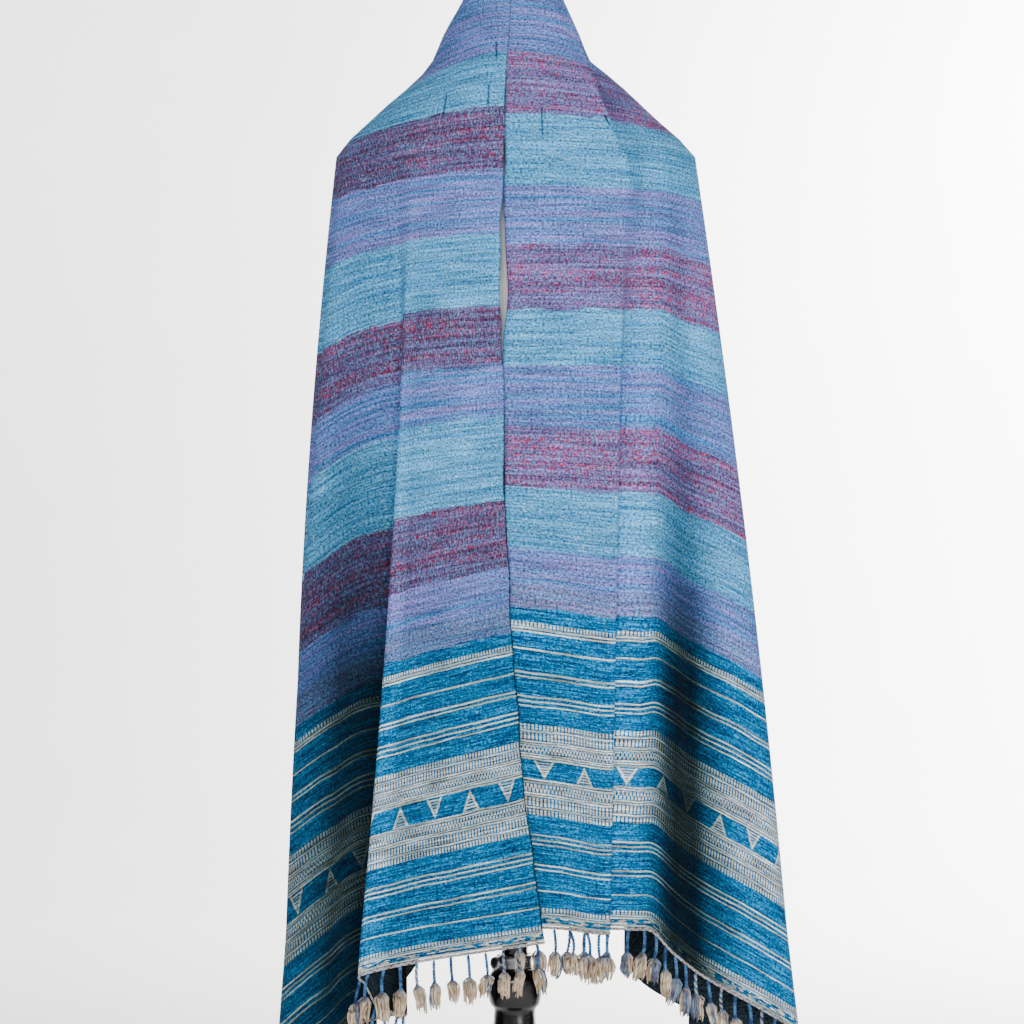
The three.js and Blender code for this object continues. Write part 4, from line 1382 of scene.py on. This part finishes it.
class Shawl:
    """The woven cloth and both its ends: one closed thin shell with a reverse that is greyer and
    darkened by painted shade.
    """

    def __init__(self, size: ClothMesh) -> None:
        """Sets up the two halves.

        Args:
            size: Fineness and thickness.
        """
        self.size = size
        self.right = Half(
            side=1, length=1033.0, edge=-8.0, reach=262.0, folds=RIGHT_FOLDS, creases=RIGHT_CREASES,
            slack=18.0, slack_fall=45.0, painted_shades=RIGHT_PAINTED_SHADES, overlap=0.0, wave=0.8,
            length_shift=[
                (0, 0), (95, -10), (190, -10), (220, -11.5), (300, -10.5), (400, -12), (650, 0)
            ],
            width_shift=[(0, 0), (104, 0), (150, 19), (222, 17), (400, 11), (900, 0)],
            opening=[
                (-200, 0), (-110, -2.5), (30, -3), (80, -0.5), (115, 2.5), (160, 3), (195, 0),
                (230, -1.5), (300, 0)
            ],
            hem_extra=[(0, 0)],
            rows_down=[
                (690, 0), (733, 3), (774, 7.5), (799, 9.5), (824, 8.5), (850, 5), (883, 3),
                (942, 4), (1015, 3), (1033, 0)
            ],
            rows_end=255.0,
        )
        self.left = Half(
            side=-1, length=1046.0, edge=15.0, reach=250.0, folds=LEFT_FOLDS, creases=LEFT_CREASES,
            slack=26.0, slack_fall=40.0, painted_shades=LEFT_PAINTED_SHADES, overlap=13.0, wave=0.8,
            length_shift=[
                (0, 5), (80, -1), (150, -5), (172, -5), (225, 2), (300, 8), (360, 10), (600, 0)
            ],
            width_shift=[(0, 0), (900, 0)],
            opening=[
                (-200, 0), (-110, -4), (30, -4.5), (80, -1), (115, 1.5), (160, 2), (195, 0),
                (230, -1.5), (300, 0)
            ],
            hem_extra=[
                (0, 2), (80, 6.5), (166, 9.6), (178, 12), (190, 30), (212, 30), (226, 20),
                (260, 18), (300, 16.5), (345, 5), (400, 0)
            ],
            rows_down=[(0, 0)],
            rows_end=200.0,
        )

    def places(self, half: Half) -> np.ndarray:
        """Columns of one half along its fold plan, one of them on the cloth's corner."""
        values: list[float] = []
        for low, high in zip(half.knots[:-1], half.knots[1:]):
            steps = max(3, round((high - low) / self.size.pitch))
            values += list(np.linspace(low, high, steps, endpoint=False))
        values.append(float(half.knots[-1]))
        places = np.array(values)
        corner = half.corner()
        places[np.argmin(np.abs(places - corner))] = corner
        return places

    def grid(self) -> tuple[np.ndarray, np.ndarray]:
        """The middle surface of the whole shawl with its creases.

        Returns:
            Points and cloth places with their painted light and shade, both as columns, rows and
            three. The columns run from the right front edge round the back to the left front edge.
        """
        drops = PEAK_Z - SHOULDER_Z
        rows = drops * np.linspace(0.075, 1, self.size.hood_rows) ** 2
        shares = np.linspace(0, 1, self.size.fall_rows + 1)[1:]
        sides = []
        for half in (self.right, self.left):
            places = self.places(half)
            points, cloth = half.surface(places, rows, shares)
            _, hem, selvage = half.reach_of(places)
            fall = np.minimum(hem, selvage)[:, None] * shares[None, :]
            fade = np.linspace(0, 1, len(rows)) ** 3
            relief = np.concatenate(
                [
                    half.relief(places, np.zeros((len(places), len(rows)))) * fade,
                    half.relief(places, fall)
                ],
                axis=1
            )
            sides.append((points, cloth, relief))
        (right, right_cloth, right_relief), (left, left_cloth, left_relief) = sides
        points = np.concatenate([right, left[::-1][1:]])
        cloth = np.concatenate([right_cloth, left_cloth[::-1][1:]])
        relief = np.concatenate([right_relief, left_relief[::-1][1:]])
        lift, shade = ShoulderFold().press(points)
        # The shoulder fold's painted highlight and painted shadow are added to the painted light
        # and shade.
        cloth[:, :, 2] += shade
        points = points + self.normals(points) * (relief + lift)[:, :, None]
        return points, cloth

    @staticmethod
    def normals(points: np.ndarray) -> np.ndarray:
        """Outward normals of a grid of points."""
        sideways = np.gradient(points, axis=0)
        down = np.gradient(points, axis=1)
        normal = np.cross(down, sideways)
        return normal / np.maximum(np.linalg.norm(normal, axis=2, keepdims=True), 1e-9)

    def build(self, face: bpy.types.Material, reverse: bpy.types.Material) -> bpy.types.Object:
        """Makes the shell.

        Args:
            face: Finish of the outer side and the edges.
            reverse: Finish of the inner side.

        Returns:
            The cloth.
        """
        middle, cloth = self.grid()
        normal = self.normals(middle)
        columns, rows = middle.shape[:2]
        shift = self.size.wall / 2
        layers = [middle + normal * shift, middle - normal * shift]
        peak = np.array([0.0, 0.0, PEAK_Z])
        points = np.concatenate(
            [
                [peak + (0, 0, shift)], layers[0].reshape(-1, 3), [peak - (0, 0, shift)],
                layers[1].reshape(-1, 3)
            ]
        )
        places = np.concatenate([[[0, 0, 0]], cloth.reshape(-1, 3)])
        half = 1 + columns * rows
        index = 1 + np.arange(columns * rows).reshape(columns, rows)
        a, b, c, d = index[:-1, :-1], index[:-1, 1:], index[1:, 1:], index[1:, :-1]
        outer = np.stack([a, b, c, d], axis=2).reshape(-1, 4)
        faces = outer.tolist()
        faces += [(0, int(index[i, 0]), int(index[i + 1, 0])) for i in range(columns - 1)]
        shown = len(faces)
        faces += (outer[:, ::-1] + half).tolist()
        faces += [
            (half, int(index[i + 1, 0]) + half, int(index[i, 0]) + half) for i in range(columns - 1)
        ]
        hidden = len(faces)
        rim = [0, *index[0].tolist(), *index[1:, -1].tolist(), *index[-1, -2::-1].tolist(), 0]
        faces += [(p, p + half, q + half, q) for p, q in zip(rim[:-1], rim[1:])]
        piece = make_piece("shawl_cloth_woven", points, faces, [face, reverse])
        numbers = np.zeros(len(faces), np.int32)
        numbers[shown:hidden] = 1
        piece.data.polygons.foreach_set("material_index", numbers)
        store_vectors(piece, "cloth_place_and_painted_light", np.concatenate([places, places]))
        return piece

    def hem(self, half: Half) -> tuple[np.ndarray, np.ndarray, np.ndarray]:
        """The end hem of one half.

        Args:
            half: Which half.

        Returns:
            Points of the hem, the downward direction of the fall there, and the width at each.
        """
        places = np.linspace(0, half.corner(), 1400)
        row, hem, _ = half.reach_of(places)
        start = half.hood_plan(np.array([PEAK_Z - SHOULDER_Z]), row["ring"])[:, 0]
        run = np.stack([row["out"], row["deep"]], 1) - start
        slope = np.hypot(run[:, 0], run[:, 1]) / FALL

        def at(fall: np.ndarray) -> np.ndarray:
            """Points at one fall per column."""
            share = fall / FALL
            out = start[:, 0] + run[:, 0] * share + row["bulge"] * np.maximum(
                0, 4 * share * (1 - share)
            )
            out = out + half.edge_shift(places, fall[:, None])[:, 0]
            deep = start[:, 1] + run[:, 1] * share
            return np.stack(
                [out * half.side, deep, SHOULDER_Z - fall * np.sqrt(1 - slope**2)], axis=1
            )

        points = at(hem)
        _, width0 = half.at_shoulder(row["ring"])
        return points, at(hem + 1) - points, width0 + row["across"] * hem


# ---- fringe ----


@dataclass(frozen=True)
class FringeSize:
    """Cord and tassel sizes of the fringe."""

    strands: int = 48
    margin: float = 7.0
    spacing: float = 12.2
    seam_gap: float = 1.1
    strip_height: float = 4.2
    braid_yarn: float = 0.72
    braid_pitch: float = 7.0
    braid_raise: float = 1.25
    braid_height: float = 1.15
    braid_depth: float = 0.42
    sway_fall: float = 31.0
    cord_top: float = 3.0
    cord_end: float = 28.0
    ply: float = 1.05
    ply_offset: float = 0.9
    twist: float = 6.5
    tassel_end: float = 50.0
    tassel_wide: float = 6.2
    yarns: int = 26
    yarn: float = 0.78
    neck: float = 2.1
    neck_yarn: float = 0.62
    neck_slope: float = 0.11


# Turn between neighbouring yarns that fills a round tassel evenly.
GOLDEN_ANGLE = 2.39996


class Tubes:
    """Collects thin round yarns into one mesh."""

    def __init__(self) -> None:
        """Starts with no yarn."""
        self.points: list[np.ndarray] = []
        self.faces: list[tuple[int, ...]] = []
        self.tints: list[np.ndarray] = []
        self.count = 0

    def add(
        self, path: np.ndarray, radii: np.ndarray, sides: int, tint: np.ndarray, shade: float
    ) -> None:
        """Adds a yarn along a path.

        Args:
            path: Its centre points.
            radii: Radius at each point.
            sides: Corners of its section.
            tint: 0 for blue to 1 for cream, at each point.
            shade: From 0 to 1, its own lightness.
        """
        ahead = np.gradient(path, axis=0)
        ahead /= np.maximum(np.linalg.norm(ahead, axis=1, keepdims=True), 1e-9)
        aside = np.cross(
            ahead, np.where(np.abs(ahead[:, 2:3]) > 0.9, [[1.0, 0.0, 0.0]], [[0.0, 0.0, 1.0]])
        )
        aside /= np.maximum(np.linalg.norm(aside, axis=1, keepdims=True), 1e-9)
        above = np.cross(ahead, aside)
        turn = 2 * np.pi * np.arange(sides) / sides
        ring = aside[:, None] * np.cos(turn)[
            None, :, None
        ] + above[:, None] * np.sin(turn)[None, :, None]
        skin = path[:, None] + ring * radii[:, None, None]
        base = self.count
        for i in range(len(path) - 1):
            for k in range(sides):
                j = (k + 1) % sides
                low, high = base + i * sides, base + (i + 1) * sides
                self.faces.append((low + k, low + j, high + j, high + k))
        self.faces.append(tuple(base + k for k in reversed(range(sides))))
        self.faces.append(tuple(base + (len(path) - 1) * sides + k for k in range(sides)))
        self.points.append(skin.reshape(-1, 3))
        tints = np.repeat(tint, sides)
        self.tints.append(
            np.stack([tints, np.full_like(tints, shade), np.zeros_like(tints)], axis=1)
        )
        self.count += len(path) * sides

    def build(self, name: str, material: bpy.types.Material) -> bpy.types.Object:
        """Makes the mesh.

        Args:
            name: The piece's name.
            material: Its finish.

        Returns:
            The piece.
        """
        piece = make_piece(name, np.concatenate(self.points), self.faces, [material])
        store_vectors(piece, "yarn_place", np.concatenate(self.tints))
        return piece


class Fringe:
    """A braided edge under one end hem, with twisted cords that open into tassels."""

    def __init__(self, size: FringeSize, shawl: Shawl, half: Half, seed: int) -> None:
        """Finds the roots and lets the tassels settle side by side.

        Args:
            size: Cord and tassel sizes.
            shawl: The cloth that it hangs from.
            half: Which end.
            seed: Starts its own uneven numbers.
        """
        self.size = size
        self.rng = np.random.default_rng(seed)
        self.points, self.down, self.width = shawl.hem(half)
        pitch = (CLOTH_WIDTH - 2 * size.margin) / (size.strands - 1)
        widths = self.width[0] + size.margin + pitch * np.arange(size.strands)
        self.roots = np.stack(
            [np.interp(widths, self.width, self.points[:, k]) for k in range(3)], axis=1
        )
        self.tips = self.settled()

    def settled(self) -> np.ndarray:
        """Tassel places, pushed aside until they hang clear of their neighbours."""
        tips = self.roots.copy()
        for _ in range(60):
            for i in range(len(tips)):
                for j in range(i + 1, len(tips)):
                    apart = tips[j, :2] - tips[i, :2]
                    gap = float(np.hypot(*apart))
                    lack = self.size.spacing - gap
                    if abs(tips[j, 2] - tips[i, 2]) < 60 and lack > 0:
                        push = apart / gap if gap > 0.001 else np.array([0.0, 1.0])
                        tips[i, :2] -= push * lack / 2
                        tips[j, :2] += push * lack / 2
        sway = np.sin(np.arange(len(tips)) * 0.37 + self.rng.uniform(0, 6)) * 2.6
        tips[:, 0] += sway + self.rng.normal(0, 1.3, len(tips))
        tips[:, 1] += self.rng.normal(0, 1.2, len(tips))
        return tips

    def add_braid(self, tubes: Tubes) -> None:
        """Plaits three yarns along the hem, just under the cloth."""
        size = self.size
        run = np.concatenate([[0], np.cumsum(np.linalg.norm(np.diff(self.points, axis=0), axis=1))])
        stations = np.arange(0, run[-1], 1.3)
        path = np.stack([np.interp(stations, run, self.points[:, k]) for k in range(3)], axis=1)
        down = np.stack([np.interp(stations, run, self.down[:, k]) for k in range(3)], axis=1)
        along = np.gradient(path, axis=0)
        out = np.cross(down, along)
        out /= np.linalg.norm(out, axis=1, keepdims=True)
        middle = size.seam_gap + size.strip_height / 2 - size.braid_raise
        for strand in range(3):
            phase = 2 * np.pi * (stations / size.braid_pitch + strand / 3)
            height = middle + size.braid_height * np.sin(phase)
            depth = size.braid_depth * np.sin(2 * phase)
            line = path + down * height[:, None] + out * depth[:, None]
            radii = np.full(len(line), size.braid_yarn)
            tint = np.full(len(line), (0.15, 0.9, 0.55)[strand])
            tubes.add(line, radii, 5, tint, 0.4 + 0.2 * strand)

    def add_cord(self, tubes: Tubes, root: np.ndarray, tip: np.ndarray) -> None:
        """Twists two plies from the braid down to the tassel."""
        size = self.size
        down = np.linspace(size.cord_top, size.cord_end, 19)
        sway = (down - size.cord_top) / size.sway_fall
        centre = root + (tip - root) * sway[:, None]
        centre[:, 2] = root[2] - size.seam_gap - down
        start = self.rng.uniform(0, 2 * np.pi)
        pitch = size.twist * self.rng.uniform(0.85, 1.15)
        fade = 1 - 0.35 * np.clip((down - 24) / 4, 0, 1)
        mixed = self.rng.random() < 0.2
        bow = self.rng.normal(0, 1.1, 2)[None, :] * np.sin(
            np.pi * (down - size.cord_top) / (size.cord_end - size.cord_top)
        )[:, None]
        centre[:, :2] += bow
        for side in (0, np.pi):
            turn = start + side + 2 * np.pi * down / pitch
            offset = np.stack(
                [np.cos(turn), np.sin(turn), np.zeros_like(turn)], axis=1
            ) * size.ply_offset
            pale = 0.62 if mixed and side else 0.0
            tubes.add(
                centre + offset * fade[:, None], np.full(len(down), size.ply), 6,
                np.full(len(down), pale), self.rng.random()
            )

    def add_tassel(self, tubes: Tubes, root: np.ndarray, tip: np.ndarray) -> None:
        """Opens the cord into a brush of loose yarns."""
        size = self.size
        top = size.cord_end - 3
        sway_top = (top - size.cord_top) / size.sway_fall
        head = root + (tip - root) * sway_top
        lean = self.rng.normal(0, 2.6, 2)
        wide = size.tassel_wide * self.rng.uniform(0.72, 1.16)
        middle, share = self.rng.uniform(-np.pi, np.pi), self.rng.choice(
            [0.15, 0.5, 1.1, 1.9], p=[0.4, 0.25, 0.2, 0.15]
        )
        stretch = self.rng.uniform(-4, 2.5)
        for number in range(size.yarns):
            angle = number * GOLDEN_ANGLE + self.rng.uniform(-0.3, 0.3)
            reach = math.sqrt((number + 0.5) / size.yarns) * wide
            length = size.tassel_end - top + stretch + self.rng.uniform(-6.5, 2.2)
            f = np.linspace(0, 1, 6)
            spread = np.minimum(1, 0.3 + 2.6 * f**0.8) * (1 - 0.12 * f**2)
            wave = self.rng.uniform(0.4, 1.5) * np.sin(
                f * self.rng.uniform(3, 7) + self.rng.uniform(0, 6)
            )
            x = head[0] + (tip[0] - head[0]) * np.minimum(1, f * 2.2) + (
                math.cos(angle) * reach
            ) * spread + lean[0] * f + wave
            y = head[1] + (tip[1] - head[1]) * np.minimum(1, f * 2.2) + (
                math.sin(angle) * reach
            ) * spread + lean[1] * f - wave
            z = root[2] - size.seam_gap - top - f * length
            aside = abs((angle - middle + np.pi) % (2 * np.pi) - np.pi)
            pale = 0.1 if aside < share else 1.0
            tint = np.clip(pale * (0.35 + 2.2 * f), 0, 1) if pale > 0.5 else np.full(6, 0.22)
            radii = size.yarn * np.array([0.8, 1.1, 1.25, 1.25, 1.1, 0.6])
            tubes.add(np.stack([x, y, z], axis=1), radii, 4, tint, self.rng.random())
        turn = np.linspace(0, 4 * np.pi, 21)
        neck = np.stack(
            [size.neck * np.cos(turn), size.neck * np.sin(turn), -size.neck_slope * turn], axis=1
        )
        neck += (head[0], head[1], root[2] - size.seam_gap - top - 1.2)
        tint = 0.25 if self.rng.random() < 0.3 else 0.85
        tubes.add(neck, np.full(len(turn), size.neck_yarn), 4, np.full(len(turn), tint), 0.7)

    def build(self, name: str, material: bpy.types.Material) -> bpy.types.Object:
        """Makes the braid, the cords and the tassels as one piece.

        Args:
            name: The piece's name.
            material: Its finish.

        Returns:
            The fringe.
        """
        tubes = Tubes()
        self.add_braid(tubes)
        for root, tip in zip(self.roots, self.tips):
            self.add_cord(tubes, root, tip)
            self.add_tassel(tubes, root, tip)
        return tubes.build(name, material)


# ---- dress form and stand ----


@dataclass(frozen=True)
class Torso:
    """The padded limbless form: sections as height, half width and depth to front and back."""

    sides: int = 96
    round: float = 2.15
    sections: tuple[tuple[float, float, float, float], ...] = (
        (790, 138, 94, 82), (806, 150, 100, 88), (880, 156, 98, 92), (960, 140, 90, 84),
        (1060, 118, 80, 72),
        (1150, 132, 86, 70), (1240, 150, 88, 72), (1320, 158, 82, 72), (1372, 160, 70, 66),
        (1398, 154, 60, 60),
        (1420, 136, 54, 54), (1444, 100, 50, 48), (1466, 66, 48, 45), (1488, 52, 46, 43),
        (1522, 46, 42, 40),
    )

    def build(self, material: bpy.types.Material) -> bpy.types.Object:
        """Makes the closed form.

        Args:
            material: Its finish.

        Returns:
            The form.
        """
        table = np.array(self.sections, float)
        heights = np.concatenate(
            [
                np.linspace(a, b, 5, endpoint=False) for a, b in zip(table[:-1, 0], table[1:, 0])
            ] + [table[-1:, 0]]
        )
        columns = [
            hermite(table[:, 0], table[:, k], monotone_slopes(table[:, 0], table[:, k]), heights)
            for k in (1, 2, 3)
        ]
        turn = 2 * np.pi * np.arange(self.sides) / self.sides
        power = 2 / self.round
        rings = []
        for height, half, front, back in zip(heights, *columns):
            x = half * np.sign(np.cos(turn)) * np.abs(np.cos(turn)) ** power
            depth = np.where(np.sin(turn) < 0, front, back)
            y = depth * np.sign(np.sin(turn)) * np.abs(np.sin(turn)) ** power
            rings.append(np.stack([x, y, np.full_like(x, height)], axis=1))
        rings.insert(0, rings[0] * (0.985, 0.985, 1))
        points = np.concatenate([*rings, [(0, 0, table[0, 0])], [(0, 0, table[-1, 0])]])
        faces = []
        for ring in range(1, len(rings) - 1):
            for i in range(self.sides):
                j = (i + 1) % self.sides
                low, high = ring * self.sides, (ring + 1) * self.sides
                faces.append((low + i, low + j, high + j, high + i))
        for i in range(self.sides):
            j = (i + 1) % self.sides
            low, last = self.sides, (len(rings) - 1) * self.sides
            faces += [
                (i, j, low + j, low + i), (len(points) - 2, j, i),
                (len(points) - 1, last + i, last + j)
            ]
        return make_piece("form_torso_jersey", points, faces, [material])


@dataclass(frozen=True)
class Stand:
    """Turned neck cap, pole, clamp, column and base, from the form's neck down to the floor."""

    neck_seat: float = 1522.3
    finial_top: float = 1630.9
    pole_radius: float = 13.5
    pole_bottom: float = 330.0
    pole_top: float = 789.7
    bore: float = 13.9
    bore_bottom: float = 200.0
    column_bottom: float = 40.3
    column_top: float = 557.0
    clamp_bottom: float = 557.3
    clamp_height: float = 14.0
    clamp_radius: float = 19.0
    screw_turn: float = 222.0
    knob_start: float = 20.5
    knob_length: float = 9.0
    knob_radius: float = 7.0
    stem_radius: float = 2.5
    ridges: int = 20

    def neck_cap(self, material: bpy.types.Material) -> bpy.types.Object:
        """The turned finial on the form's neck, which holds the shawl up."""
        seat, top = self.neck_seat, self.finial_top
        profile = [
            (0, seat), (43, seat), (44.5, seat + 3), (42, seat + 7), (20, seat + 10),
            (10.5, seat + 17),
            (9, seat + 34), (12, seat + 46), (16, seat + 58), (17.5, seat + 72), (16.5, seat + 86),
            (14, top - 13),
            (10.5, top - 8), (6.5, top - 4.2), (2.5, top - 1.4), (0, top),
        ]
        return turned("neck_cap_turned", profile[:2] + smooth_profile(profile[2:]), material)

    def pole(self, material: bpy.types.Material) -> bpy.types.Object:
        """The pole that slides in the column, with the flange that carries the form."""
        low, top, radius = self.pole_bottom, self.pole_top, self.pole_radius
        profile = [(0, low), (radius, low), (radius, top - 7), (42, top - 7), (42, top), (0, top)]
        return turned("pole_round", rounded(profile), material)

    def column(self, material: bpy.types.Material) -> bpy.types.Object:
        """The turned column with its bore."""
        low = self.column_bottom
        outside = [
            (46, low), (47, low + 8), (40, low + 18), (31, low + 26), (27, low + 44),
            (25, low + 90), (27, low + 180),
            (29.5, low + 280), (27.5, low + 370), (22.5, 500), (21.5, 514), (26, 521), (27.8, 532),
            (27.6, 544),
            (24.5, 553), (21.5, self.column_top),
        ]
        bore = [(self.bore, self.column_top), (self.bore, self.bore_bottom), (0, self.bore_bottom)]
        return turned("column_turned", [(0, low), *smooth_profile(outside), *bore], material)

    def base(self, material: bpy.types.Material) -> bpy.types.Object:
        """The round base that stands on the floor."""
        profile = [
            (0, 0), (166, 0), (168, 5), (166, 14), (158, 20), (110, 25), (70, 31), (52, 40), (0, 40)
        ]
        return turned("base_turned", rounded(profile, 3.0), material)

    def clamp(self, material: bpy.types.Material) -> bpy.types.Object:
        """The steel ring on the column's end."""
        low, outer = self.clamp_bottom, self.clamp_radius
        top = low + self.clamp_height
        corners = [
            (self.bore, low), (outer - 1, low), (outer, low + 1.5), (outer - 0.7, low + 4),
            (outer - 0.7, top - 4),
            (outer, top - 1.5), (outer - 1, top), (self.bore, top), (self.bore, low),
        ]
        return turned("clamp_ring_steel", corners, material)

    def screw(self, material: bpy.types.Material) -> bpy.types.Object:
        """The thumb screw: a stem and a ridged knob with a domed end."""
        start, length, radius = self.knob_start, self.knob_length, self.knob_radius
        profile = [
            (0, 13.8), (self.stem_radius, 13.8), (self.stem_radius, start), (radius - 0.8, start),
            (radius, start + 0.8), (radius, start + length - 1.6),
            (radius - 1, start + length - 0.5),
            (radius - 3.5, start + length), (0, start + length),
        ]
        piece = turned("clamp_screw_steel", profile, material, sides=self.ridges * 4)
        mesh = piece.data
        points = np.empty(len(mesh.vertices) * 3)
        mesh.vertices.foreach_get("co", points)
        points = points.reshape(-1, 3) / MM
        around = np.arctan2(points[:, 1], points[:, 0])
        far = np.hypot(points[:, 0], points[:, 1])
        groove = np.where(
            far > radius - 0.3, 1 - 0.045 * (1 - np.cos(self.ridges * around)) / 2, 1.0
        )
        points[:, :2] *= groove[:, None]
        turn = math.radians(self.screw_turn)
        middle = self.clamp_bottom + self.clamp_height / 2
        x = points[:, 2] * math.cos(turn) - points[:, 0] * math.sin(turn)
        y = points[:, 2] * math.sin(turn) + points[:, 0] * math.cos(turn)
        mesh.vertices.foreach_set(
            "co", (np.stack([x, y, middle + points[:, 1]], axis=1) * MM).ravel()
        )
        mesh.update()
        return piece


# ---- studio ----


@dataclass(frozen=True)
class Lamp:
    """A soft rectangular light, aimed at a point. Metres and watts."""

    name: str
    place: tuple[float, float, float]
    aim: tuple[float, float, float]
    size: tuple[float, float]
    power: float
    colour: Colour = (1.0, 1.0, 1.0)


@dataclass(frozen=True)
class Studio:
    """Pale curved backdrop, soft light from the front and the camera."""

    wall_at: float = 5.2
    floor_near: float = 5.0
    half_width: float = 6.0
    height: float = 6.0
    bend: float = 1.4
    lens: float = 91.40625
    camera: tuple[float, float, float] = (-0.003, -2.7, 1.03)
    world: float = 0.24
    lamps: tuple[Lamp, ...] = (
        Lamp("key", (-0.35, -3.7, 2.0), (0.0, 0, 1.05), (1.5, 1.2), 82),
        Lamp("fill", (1.7, -3.2, 1.3), (0.15, 0, 1.0), (1.5, 1.8), 56),
        Lamp("wall_right", (2.7, 3.0, 2.4), (1.3, 5.2, 1.2), (1.6, 1.6), 1080),
        Lamp("wall_left", (-2.7, 3.0, 2.7), (-1.2, 5.2, 2.5), (1.6, 1.6), 120),
    )

    def backdrop(self) -> bpy.types.Object:
        """The floor, which bends up into the wall."""
        profile = [(-self.floor_near, 0.0)]
        for f in np.linspace(0, 1, 25):
            angle = f * math.pi / 2
            profile.append(
                (
                    self.wall_at - self.bend + self.bend * math.sin(angle),
                    self.bend * (1 - math.cos(angle))
                )
            )
        profile.append((self.wall_at, self.height))
        points = np.array(
            [(x, y, z) for y, z in profile for x in (-self.half_width, self.half_width)]
        ) / MM
        faces = [(2 * i, 2 * i + 1, 2 * i + 3, 2 * i + 2) for i in range(len(profile) - 1)]
        nodes = Nodes("backdrop_paper")
        spot = nodes.spot()
        fibre = nodes.noise(spot, 3.0, 3.0)
        colour = nodes.mix(fibre, linear("e2dfdd"), linear("e8e6e4"))
        paper = nodes.surface(colour, 0.9, nodes.noise(spot, 400.0), 0.1, 0.1)
        return make_piece("backdrop", points, faces, [paper])

    def light(self) -> None:
        """Places the lamps and the even light from all round."""
        world = bpy.data.worlds.new("studio_world")
        world.use_nodes = True
        ground = world.node_tree.nodes["Background"]
        ground.inputs["Color"].default_value = (0.93, 0.96, 1.0, 1.0)
        ground.inputs["Strength"].default_value = self.world
        bpy.context.scene.world = world
        for lamp in self.lamps:
            data = bpy.data.lights.new(lamp.name, "AREA")
            data.shape = "RECTANGLE"
            data.size, data.size_y = lamp.size
            data.energy = lamp.power
            data.color = lamp.colour
            item = bpy.data.objects.new(lamp.name, data)
            item.location = lamp.place
            away = [a - b for a, b in zip(lamp.place, lamp.aim)]
            flat = math.hypot(away[0], away[1])
            item.rotation_euler = (math.atan2(flat, away[2]), 0, math.atan2(away[0], -away[1]))
            bpy.context.scene.collection.objects.link(item)

    def shoot(self) -> None:
        """Places the camera level, in front."""
        data = bpy.data.cameras.new("camera")
        data.lens = self.lens
        data.sensor_width = 36.0
        data.clip_end = 50.0
        item = bpy.data.objects.new("camera", data)
        item.location = self.camera
        item.rotation_euler = (math.pi / 2, 0, 0)
        bpy.context.scene.collection.objects.link(item)
        bpy.context.scene.camera = item


def settle(piece: bpy.types.Object, body: str, node: str) -> bpy.types.Object:
    """Puts a piece in its model body, in place of its solid.

    Args:
        piece: The shown piece.
        body: The body that it moves with.
        node: The solid that it stands for.

    Returns:
        The same piece.
    """
    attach(piece, body)
    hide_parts(node)
    LOG.info("built %s: %d faces, in place of %s", piece.name, len(piece.data.polygons), node)
    return piece


def main() -> None:
    """Builds the object, the stage, the light and the camera, in that order."""
    logging.basicConfig(level=logging.INFO, format="%(message)s")
    face = Weave("shawl_face").material()
    # The reverse is greyer with worn cream threads, and its tone of 0.16 is painted shade for the
    # inside of the drape.
    reverse = Weave("shawl_reverse_painted_shade", painted_shade_tone=0.16, reverse=True).material()
    yarn = TwistedYarn("fringe_yarn").material()
    jersey = Jersey("form_jersey").material()
    wood = Lacquer("black_lacquered_wood").material()
    tube = Lacquer("black_enamelled_pole", low=0.24, high=0.4).material()
    steel = Steel("brushed_steel").material()

    shawl = Shawl(ClothMesh())
    cloth = settle(shawl.build(face, reverse), "form", "shawl_cloth")
    fringes = [
        settle(
            Fringe(FringeSize(), shawl, half, seed).build(f"{node}_yarns", yarn), "form", node,
        )
        for node, half, seed in (("fringe_right", shawl.right, 11), ("fringe_left", shawl.left, 29))
    ]
    torso = settle(Torso().build(jersey), "form", "form_torso")
    stand = Stand()
    cap = settle(stand.neck_cap(wood), "form", "neck_cap")
    settle(stand.pole(tube), "form", "pole")
    settle(stand.clamp(steel), "stand", "clamp_ring")
    settle(stand.screw(steel), "screw", "clamp_screw")
    settle(stand.column(wood), "stand", "stand_column")
    settle(stand.base(wood), "stand", "stand_base")

    studio = Studio()
    studio.backdrop()
    studio.light()
    studio.shoot()


if __name__ == "__main__":
    main()
